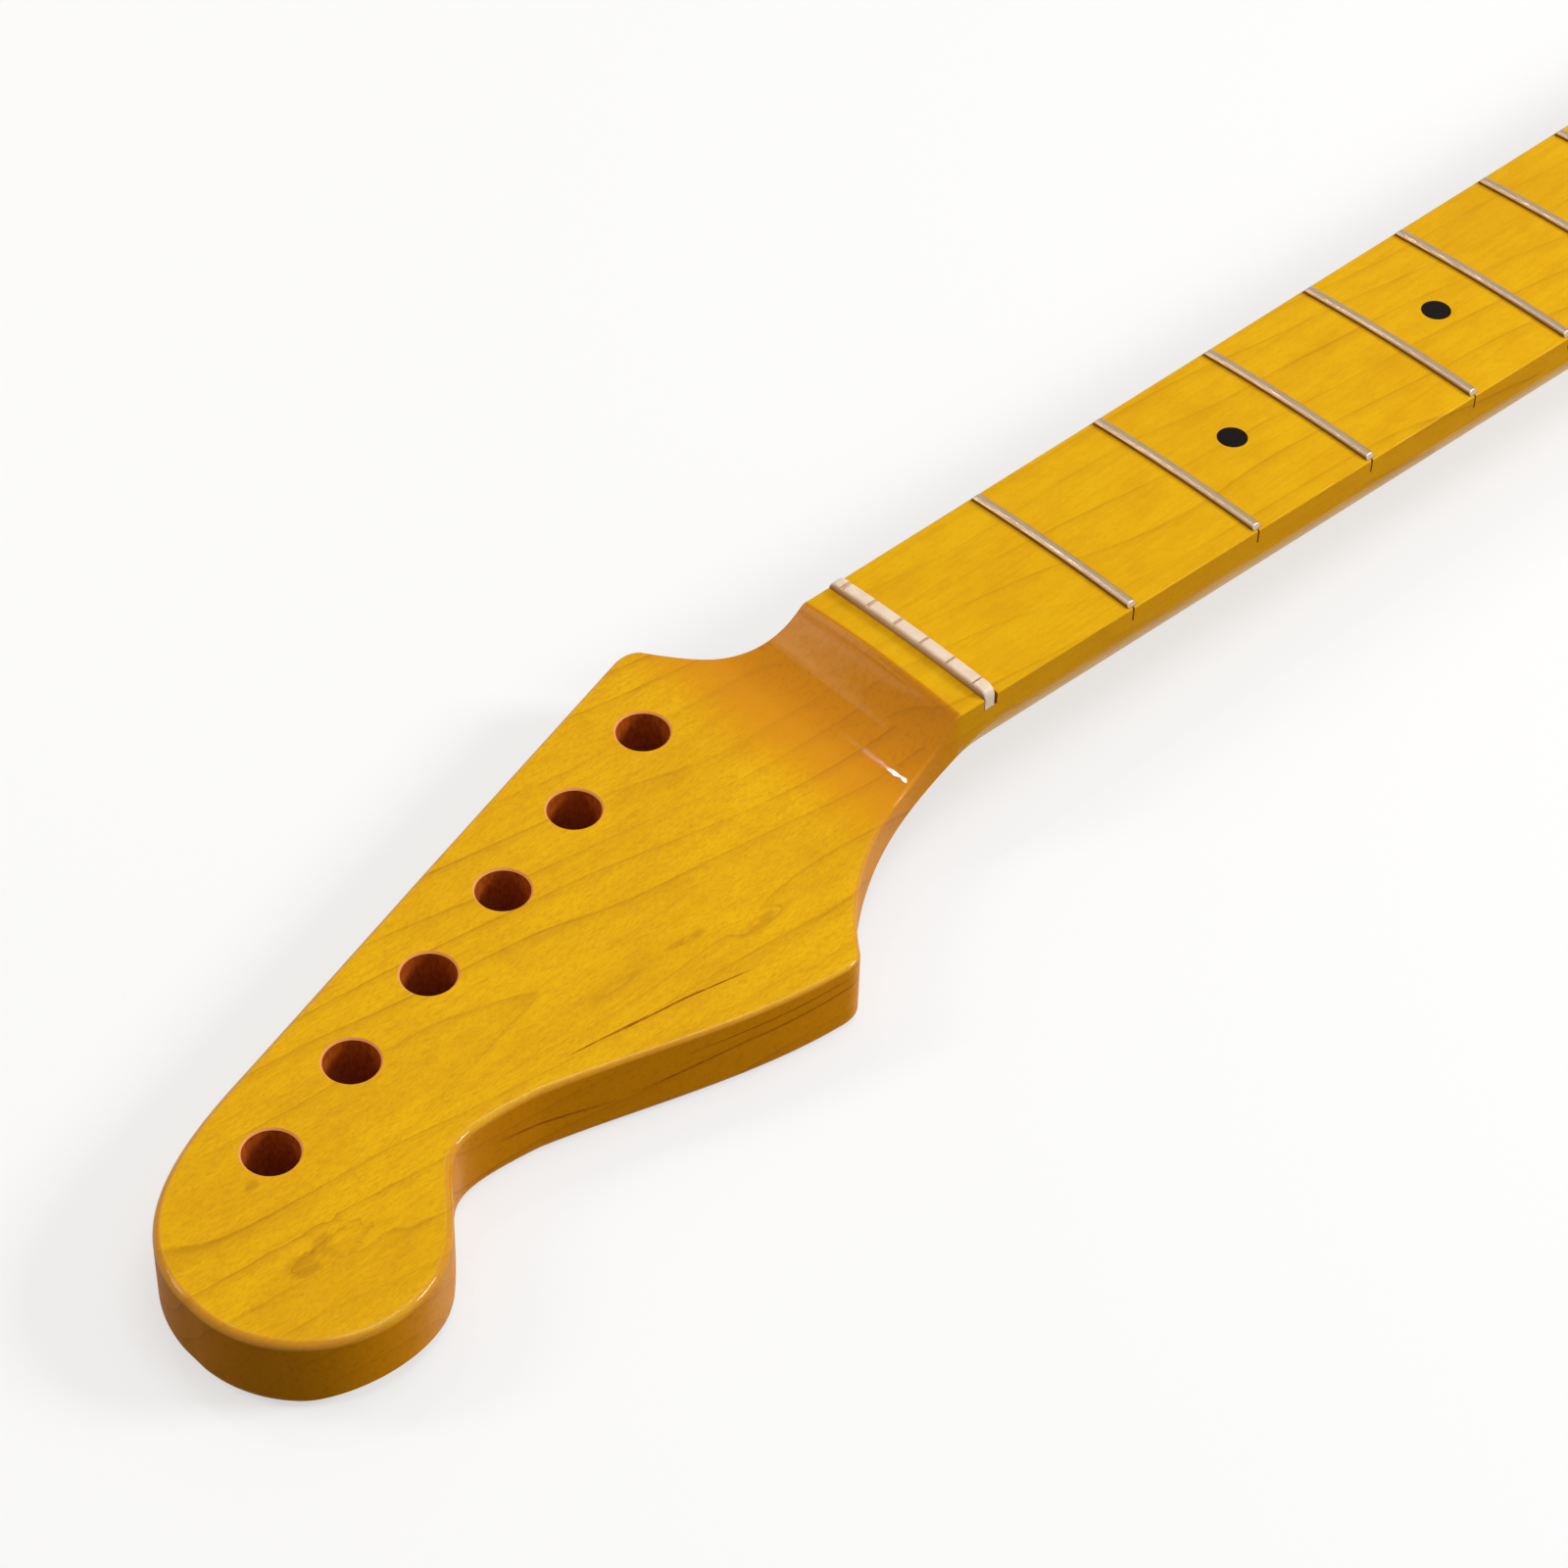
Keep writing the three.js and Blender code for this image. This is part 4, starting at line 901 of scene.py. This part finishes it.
# Darker patches: middle, and reach along and across
FIGURES = (
    ((-65.5, -28.7), (6.0, 1.7)),
    ((-78.0, -23.2), (5.0, 1.5)),
    ((-174.6, -35.6), (3.6, 2.8)),
    ((-169.4, -35.3), (3.0, 2.8)),
    ((-164.0, -34.6), (3.4, 1.3)),
    ((-170.3, -16.8), (1.8, 1.3)),
)
FIGURE_RAGGEDNESS = 3.6
FIGURE_SHARE = 0.32
# Thin dark lines: start, end and half their width, in x and y on the face, and in x and z on the treble wall
FACE_CRACKS = (
    ((-113.5, -29.9), (-95.0, -32.2), 0.13),
    ((-104.0, -31.3), (-84.0, -33.9), 0.17),
    ((-91.0, -32.8), (-74.0, -36.2), 0.13),
)
WALL_CRACKS = (
    ((-131.5, 8.4), (-106.0, 5.9), 0.24),
    ((-104.0, 6.4), (-79.5, 9.9), 0.2),
    ((-86.0, 9.0), (-56.0, 10.6), 0.22),
    ((-96.0, 11.6), (-58.0, 12.8), 0.14),
)
WALL_CRACK_SHARE = 0.7


class Maple(Shader):
    """Amber-tinted maple. Each piece of wood has its own shift into the waves."""

    def __init__(self, name, shift):
        super().__init__(name)
        self.shift = shift
        self.place = self.split(self.stretched((1, 1, 1), (-HEEL_CENTRE_X, 0, 0)))
        self.way = self.normal()
        self.flatness = self.math("ABSOLUTE", self.way[2])
        self.wobble = self.math("SUBTRACT", self.wave(*WOBBLES), 0.5)

    def wave(self, scale, detail, roughness, distortion=0.0, turn=0.0):
        return self.noise(scale, detail, roughness, self.shift, distortion, turn)

    def near(self, middle, reach):
        """1 at a place, falling to 0 about twice its reach away."""
        x, y, _ = self.place
        along = self.times_plus(x, 1 / reach[0], -middle[0] / reach[0])
        across = self.times_plus(y, 1 / reach[1], -middle[1] / reach[1])
        square = self.times_plus(along, along, self.times(across, across))
        return self.math("EXPONENT", self.times(square, -1.0))

    def ring_place(self):
        """How far a point lies on the way from one growth line to the next, from 0 to 1."""
        x, y, z = self.place
        height = self.times_plus(x, RING_SLANT / RING_SPACING, self.times(y, 1 / RING_SPACING))
        height = self.times_plus(z, RING_DIP / RING_SPACING, height)
        height = self.times_plus(self.wave(*RING_WAVES), RING_WAVE_RISE, height)
        for middle, reach, rise in HILLS:
            height = self.times_plus(self.near(middle, reach), rise, height)
        wavy = self.times(self.wobble, self.near(*WAVY_PLACE))
        return self.math("FRACT", self.times_plus(wavy, WAVY_PLACE_RISE, height))

    def crack(self, place_vector, start, end, half_width):
        """A thin line between two places, strongest in its middle."""
        start, end = Vector(start), Vector(end)
        way = end - start
        offset = self.vector_math("SUBTRACT", place_vector, start)[0]
        along = self.vector_math("DOT_PRODUCT", offset, way / way.length_squared)["Value"]
        share = self.math("ADD", along, 0.0, clamp=True)
        on_line = self.node("ShaderNodeVectorMath", {0: way, "Scale": share}, operation="SCALE").outputs[0]
        away = self.vector_math("DISTANCE", offset, on_line)["Value"]
        taper = self.times(self.math("SUBTRACT", 1.0, share), share)
        edge = self.ramp(away, half_width * 0.4, half_width * 2, 1.0, 0.0)
        return self.times(edge, self.times(taper, 5.0, clamp=True))

    def tinted(self, yellow, amber_shares):
        """The colour of flat wood: yellow with amber over it, and the darker patches."""
        colour = yellow
        for share in amber_shares:
            colour = self.mix(share, colour, AMBER)
        for middle, reach in FIGURES:
            ragged = self.times_plus(self.wobble, FIGURE_RAGGEDNESS, 1.0)
            inside = self.times(ragged, self.near(middle, reach))
            colour = self.mix(self.ramp(inside, 0.35, 0.8, 0.0, FIGURE_SHARE), colour, BROWN)
        return colour

    def with_end_grain_and_tip_shade(self, colour, ends):
        """Deeper where the grain's ends show: in and before the scoop and on the walls. Walls that face the
        tip's way also get painted shade, so the walls are darkest at the tip.
        """
        x = self.place[0]
        colour = self.mix(self.band(x, *SCOOP_AMBER), colour, END_AMBER)
        wall = self.ramp(self.flatness, 0.0, 0.9, 0.3, 0.0)
        on_head = self.ramp(x, -30.0, -5.0, 1.0, 0.5)
        tilt = self.times_plus(wall, on_head, self.math("ABSOLUTE", self.way[0]))
        pores = self.ramp(self.wave(*PORES), 0.45, 0.75, 0.0, 0.3)
        end_colour = self.mix(pores, END_AMBER, BROWN)
        colour = self.mix(self.ramp(tilt, 0.03, 0.3, 0.0, ends), colour, end_colour)
        # Painted shade: walls that face towards -x, the tip's way, are darkened towards brown.
        painted_shade_tip_walls = self.times(self.math("SUBTRACT", self.flatness, 1.0), self.way[0])
        return self.mix(self.ramp(painted_shade_tip_walls, 0.55, 1.0, 0.0, 0.4), colour, BROWN)

    def with_rings(self, colour, lines):
        """Growth lines, each a soft shade that ends in a thin line, clearer in some places than in others."""
        ring = self.ring_place()
        shade = self.band(ring, (0.6, 0.97), (0.97, 1.0))
        line = self.band(ring, (0.90, 0.965), (0.965, 1.0))
        strength = self.ramp(self.wave(*LINE_STRENGTHS), 0.35, 0.7, 0.25, 1.0)
        for mark, share in ((shade, RING_SHADE), (line, RING_LINE)):
            colour = self.mix(self.times(self.times(mark, strength), share * lines), colour, BROWN)
        return colour

    def with_cracks(self, colour):
        x, y, z = self.place
        plan = self.node("ShaderNodeCombineXYZ", {"X": x, "Y": y}).outputs[0]
        side = self.node("ShaderNodeCombineXYZ", {"X": x, "Z": z}).outputs[0]
        broken = self.times_plus(self.wave(*CRACK_GAPS), 0.9, 0.3)
        for start, end, half_width in FACE_CRACKS:
            mark = self.times(self.crack(plan, (*start, 0), (*end, 0), half_width), broken)
            colour = self.mix(mark, colour, DARK_LINE)
        for start, end, half_width in WALL_CRACKS:
            ends = (start[0], 0, start[1]), (end[0], 0, end[1])
            mark = self.times(self.crack(side, *ends, half_width), broken)
            colour = self.mix(self.times(mark, WALL_CRACK_SHARE), colour, DARK_LINE)
        return colour

    def gloss(self, coat, coat_ior, ripples):
        """A clear coat with fine ripples, thick about the scoop and thin on the walls."""
        self.bump(self.wave(*COAT_RIPPLES), 0.6, ripples, "Coat Normal")
        near_scoop = self.band(self.place[0], *SCOOP_GLOSS)
        off_walls = self.ramp(self.flatness, 0.05, 0.4, 0.1, 1.0)
        weight = self.times(self.ramp(near_scoop, 0.0, 1.0, coat, 0.45), off_walls)
        return self.set(Coat_Weight=weight, Coat_Roughness=0.04, Coat_IOR=coat_ior)


def maple(name, yellow, shift, lines, flecks=1.0, ends=0.95, coat=0.3, coat_ior=1.3, ripples=0.03):
    """Maple under a gloss coat. Lines, flecks and ends say how much these show, of at most 1."""
    s = Maple(name, shift)
    streak = s.wave(*STREAKS)
    fleck = s.ramp(s.wave(*FLECKS), 0.42, 0.7, 0.0, flecks)
    dash = s.ramp(s.wave(*DASHES), 0.5, 0.74, 0.0, flecks)
    amber_shares = (
        s.ramp(s.wave(*CLOUDS), 0.35, 0.7, 0.0, 0.22),
        s.ramp(s.wave(*PATCHES), 0.4, 0.7, 0.0, 0.2),
        s.ramp(streak, 0.42, 0.78, 0.0, 0.26),
        s.times(fleck, 0.5),
        s.times(dash, 0.34),
    )
    colour = s.with_end_grain_and_tip_shade(s.tinted(yellow, amber_shares), ends)
    colour = s.with_cracks(s.with_rings(colour, lines))
    s.bump(s.times_plus(fleck, 0.05, s.wave(*SURFACE_WAVES)), 0.3, 0.12)
    rough = s.ramp(streak, 0.3, 0.8, 0.42, 0.55)
    s.set(Base_Color=colour, Roughness=rough, IOR=1.35, Specular_IOR_Level=0.03)
    return s.gloss(coat, coat_ior, ripples)


def hole_maple(name, light, dark):
    """Bare tinted wood inside a hole, with a painted highlight where its surface is tilted, as on a hole's
    chamfer.
    """
    s = Shader(name)
    streak = s.noise((1.2, 1.2, 0.6), 3.0, 0.6)
    colour = s.mix(s.ramp(streak, 0.35, 0.7), light, dark)
    upward = s.math("ABSOLUTE", s.normal()[2])
    # Painted highlight: a light pinkish colour on the tilted faces of the chamfer.
    colour = s.mix(s.band(upward, (0.3, 0.6), (0.8, 0.95)), colour, HOLE_RIM_HIGHLIGHT)
    s.bump(streak, 0.4, 0.15)
    return s.set(Base_Color=colour, Roughness=0.7, Specular_IOR_Level=0.1)


def nickel(light, dark):
    """Fret metal, darker on its upright sides towards its feet: painted shade and a painted reflection of the
    board.
    """
    s = Shader("fret_nickel")
    scratch = s.noise((6.0, 0.25, 6.0), 3.0, 0.6)
    colour = s.mix(s.ramp(scratch, 0.3, 0.7), light, dark)
    # Painted shade and painted reflection: the sides that face along the neck turn dark brown.
    tilt = s.math("ABSOLUTE", s.normal()[0])
    colour = s.mix(s.ramp(tilt, 0.35, 0.85, 0.0, 0.85), colour, NICKEL_PAINTED_SHADE)
    s.bump(scratch, 0.15, 0.02)
    return s.set(Base_Color=colour, Metallic=1.0, Roughness=s.ramp(scratch, 0.3, 0.7, 0.24, 0.38))


def bone(name, light, dark):
    """Mottled bone, with painted shade towards the foot of its upright sides."""
    s = Shader(name)
    mottle = s.noise((0.6, 0.35, 0.6), 3.0, 0.6)
    fine = s.noise((5.0, 5.0, 5.0), 2.0, 0.5)
    z = s.split(s.stretched((1, 1, 1)))[2]
    upright = s.ramp(s.math("ABSOLUTE", s.normal()[0]), 0.5, 0.95)
    foot = s.ramp(z, CROWN_Z - 0.4, CROWN_Z + NUT_HEIGHT_ABOVE_BOARD - 0.1, 0.9, 0.0)
    colour = s.mix(s.ramp(mottle, 0.3, 0.7), light, dark)
    # Painted shade at the foot of the upright sides, where they meet the fingerboard.
    colour = s.mix(s.times(upright, foot), colour, BONE_PAINTED_SHADE)
    s.bump(fine, 0.2, 0.02)
    return s.set(Base_Color=colour, Roughness=s.ramp(fine, 0.3, 0.7, 0.34, 0.48), IOR=1.45)


def mark_plastic(light, dark):
    s = Shader("mark_black")
    mottle = s.noise((1.5, 1.5, 1.5), 3.0, 0.6)
    colour = s.mix(s.ramp(mottle, 0.35, 0.7), light, dark)
    rough = s.ramp(mottle, 0.3, 0.7, 0.3, 0.42)
    return s.set(Base_Color=colour, Roughness=rough, Specular_IOR_Level=0.05)


def rod_metal(name, light, dark, stretch):
    """Scratched and a little stained metal."""
    s = Shader(name)
    scratch = s.noise(stretch, 3.0, 0.65)
    stain = s.noise((0.08, 0.3, 0.3), 2.0, 0.5)
    colour = s.mix(s.ramp(scratch, 0.3, 0.7), light, dark)
    colour = s.mix(s.ramp(stain, 0.5, 0.8, 0.0, 0.4), colour, dark)
    s.bump(scratch, 0.25, 0.03)
    return s.set(Base_Color=colour, Metallic=1.0, Roughness=s.ramp(scratch, 0.3, 0.7, 0.3, 0.5))


def build():
    low, high = (np.array(corner_point) / MM + [HEEL_CENTRE_X, 0, 0] for corner_point in BOX_AT_START)
    outline = np.clip(plan_outline(), low[:2], high[:2])
    neck_shift, board_shift = (0.0, 0.0, 0.0), (73.0, 21.0, 44.0)
    shaft = maple("shaft_maple", FACE_YELLOW, neck_shift, lines=1.0)
    rim_gloss = {"coat": 0.65, "coat_ior": 1.38, "ripples": 0.13}
    rim = maple("rim_maple", RIM_YELLOW, neck_shift, lines=0.6, ends=0.7, **rim_gloss)
    board = maple("board_maple", BOARD_YELLOW, board_shift, lines=0.7, flecks=0.45, coat=0.12)
    hole = hole_maple("hole_maple", *HOLE_WOOD)
    slot = hole_maple("slot_maple", *SLOT_WOOD)
    neck_wood(outline, shaft, rim, hole)
    fingerboard(outline, board, rim, slot)
    metal = nickel(*NICKEL)
    for n in range(1, FRET_COUNT + 1):
        fret(n, metal)
    string_nut(bone("nut_bone", *BONE), bone("shaded_groove_bone", *SHADED_GROOVE_BONE))
    black = mark_plastic(*MARK_BLACK)
    for name, x, y in mark_places(DOUBLE_MARK_SPREAD):
        face_mark(name, x, y, black)
    for name, x, shift in mark_places(SIDE_DOUBLE_MARK_SPREAD):
        side_mark(name, x, shift, black)
    rod = rod_metal("rod_steel", *ROD_STEEL, (0.3, 3.0, 3.0))
    brass = rod_metal("block_brass", *BLOCK_BRASS, (0.5, 2.0, 2.0))
    for name, node in frame["nodes"].items():
        if name.startswith("rod_"):
            node.data.materials.clear()
            node.data.materials.append(brass if "block" in name else rod)


# Floor, lights and camera
FLOOR_SIZE = 40.0
FLOOR_GAP = 0.05
# The floor's glow near the part and far from it, and in metres from where to where it changes
FLOOR_GLOW = (0.57, 0.86)
FLOOR_FADE = (0.9, 3.2)
FLOOR_SEEN = (0.375, 0.38, 0.385, 1)
FLOOR_BOUNCE = (0.16, 0.155, 0.15, 1)
WORLD_LIGHT = 0.36
WHITE = (1, 1, 1)
WARM_WHITE = (1, 0.86, 0.64)
SPARK_WHITE = (1, 0.97, 0.9)
HEAD_MIDDLE = (-0.5, 0, 0)


def seen_directly(s):
    """1 for camera, glossy and transmission rays."""
    path = s.node("ShaderNodeLightPath").outputs
    seen = s.math("MAXIMUM", path["Is Camera Ray"], path["Is Glossy Ray"])
    return s.math("MAXIMUM", seen, path["Is Transmission Ray"])


def floor():
    """A pale floor: white where it is seen, and a quiet grey for the light that it throws back.

    It glows more away from the lamps, so that it stays even. It isn't seen from below and lets a lamp's light
    up, for a look at the back.
    """
    size = FLOOR_SIZE / 2
    mesh = bpy.data.meshes.new("floor")
    corners = [(x * size, y * size, -FLOOR_GAP * MM) for x, y in ((-1, -1), (1, -1), (1, 1), (-1, 1))]
    mesh.from_pydata(corners, [], [(0, 1, 2, 3)])
    s = Shader("floor_white")
    seen = seen_directly(s)
    geometry = s.node("ShaderNodeNewGeometry").outputs
    away = s.node("ShaderNodeVectorMath", {0: geometry["Position"]}, operation="LENGTH").outputs["Value"]
    glow = s.times(s.ramp(away, *FLOOR_FADE, *FLOOR_GLOW), seen)
    colour = s.mix(seen, FLOOR_BOUNCE, FLOOR_SEEN)
    shadow_ray = s.node("ShaderNodeLightPath").outputs["Is Shadow Ray"]
    shut = s.math("SUBTRACT", 1.0, s.math("MAXIMUM", geometry["Backfacing"], shadow_ray))
    s.set(Base_Color=colour, Roughness=0.9, Specular_IOR_Level=0.1)
    s.set(Emission_Color=(1, 1, 1, 1), Emission_Strength=glow, Alpha=shut)
    mesh.materials.append(s.owner)
    linked("floor", mesh)


def area_light(name, direction, size, radiance, colour=WHITE, along=None, distance=1.6, target=HEAD_MIDDLE):
    """A flat lamp, with lengths in metres. It faces its target unless its own axes are given."""
    data = bpy.data.lights.new(name, "AREA")
    data.shape = "RECTANGLE"
    data.size, data.size_y = size
    data.energy = radiance * math.pi * size[0] * size[1]
    data.color = colour
    way = Vector(direction).normalized()
    turn = way.to_track_quat("Z", "Y").to_matrix()
    if along:
        x_axis, y_axis = (Vector(axis).normalized() for axis in along)
        turn = Matrix((x_axis, y_axis, x_axis.cross(y_axis))).transposed()
    thing = linked(name, data)
    thing.matrix_world = Matrix.Translation(Vector(target) + way * distance) @ turn.to_4x4()


def world(strength):
    """White where it is seen, and dimmer for the light that it gives."""
    s = Shader("studio", bpy.data.worlds, "Background")
    bpy.context.scene.world = s.owner
    s.set(Strength=s.mix(seen_directly(s), strength, 1.0, "FLOAT"), Color=(1, 1, 1, 1))


def camera():
    data = bpy.data.cameras.new("camera")
    data.lens = CAMERA_LENS
    data.sensor_width = SENSOR_WIDTH
    data.sensor_height = SENSOR_WIDTH
    data.clip_start = 0.01
    right = CAMERA_RIGHT.normalized()
    up = right.cross(CAMERA_FORWARD).normalized()
    back = right.cross(up)
    turn = Matrix((right, up, back)).transposed().to_4x4()
    thing = linked("camera", data)
    thing.matrix_world = Matrix.Translation(Vector(CAMERA_PLACE) * MM) @ turn
    bpy.context.scene.camera = thing


def lights():
    world(WORLD_LIGHT)
    # Mirrored in the scoop, where their lower edges fall across the middle
    scoop_lamp = {"colour": WARM_WHITE, "along": ((-0.785, 0, -0.619), (0, -1, 0)), "distance": 1.541}
    area_light("back_left", (-0.726, 0.95, 0.972), (0.9, 0.41), 3.6, **scoop_lamp)
    area_light("back_left_core", (-0.726, 0.96, 0.972), (0.7, 0.36), 3.7, **scoop_lamp)
    area_light("key", (0.66, -0.57, 0.49), (0.5, 0.4), 24.0)
    area_light("overhead", (0.2, -0.1, 1.0), (0.85, 0.7), 3.4)
    area_light("under", (0.3, 0, -1), (0.4, 1.2), 4.5, target=(0, 0, 0))
    # The spark at the scoop's treble end
    spark_lamp = {"colour": SPARK_WHITE, "along": ((1, 0, 0), (0, 1, 0)), "distance": 1.608}
    area_light("spark", (0.238, 0.769, 1.392), (0.08, 0.012), 420.0, **spark_lamp)


build()
floor()
lights()
camera()
bpy.context.scene.view_settings.view_transform = "Standard"
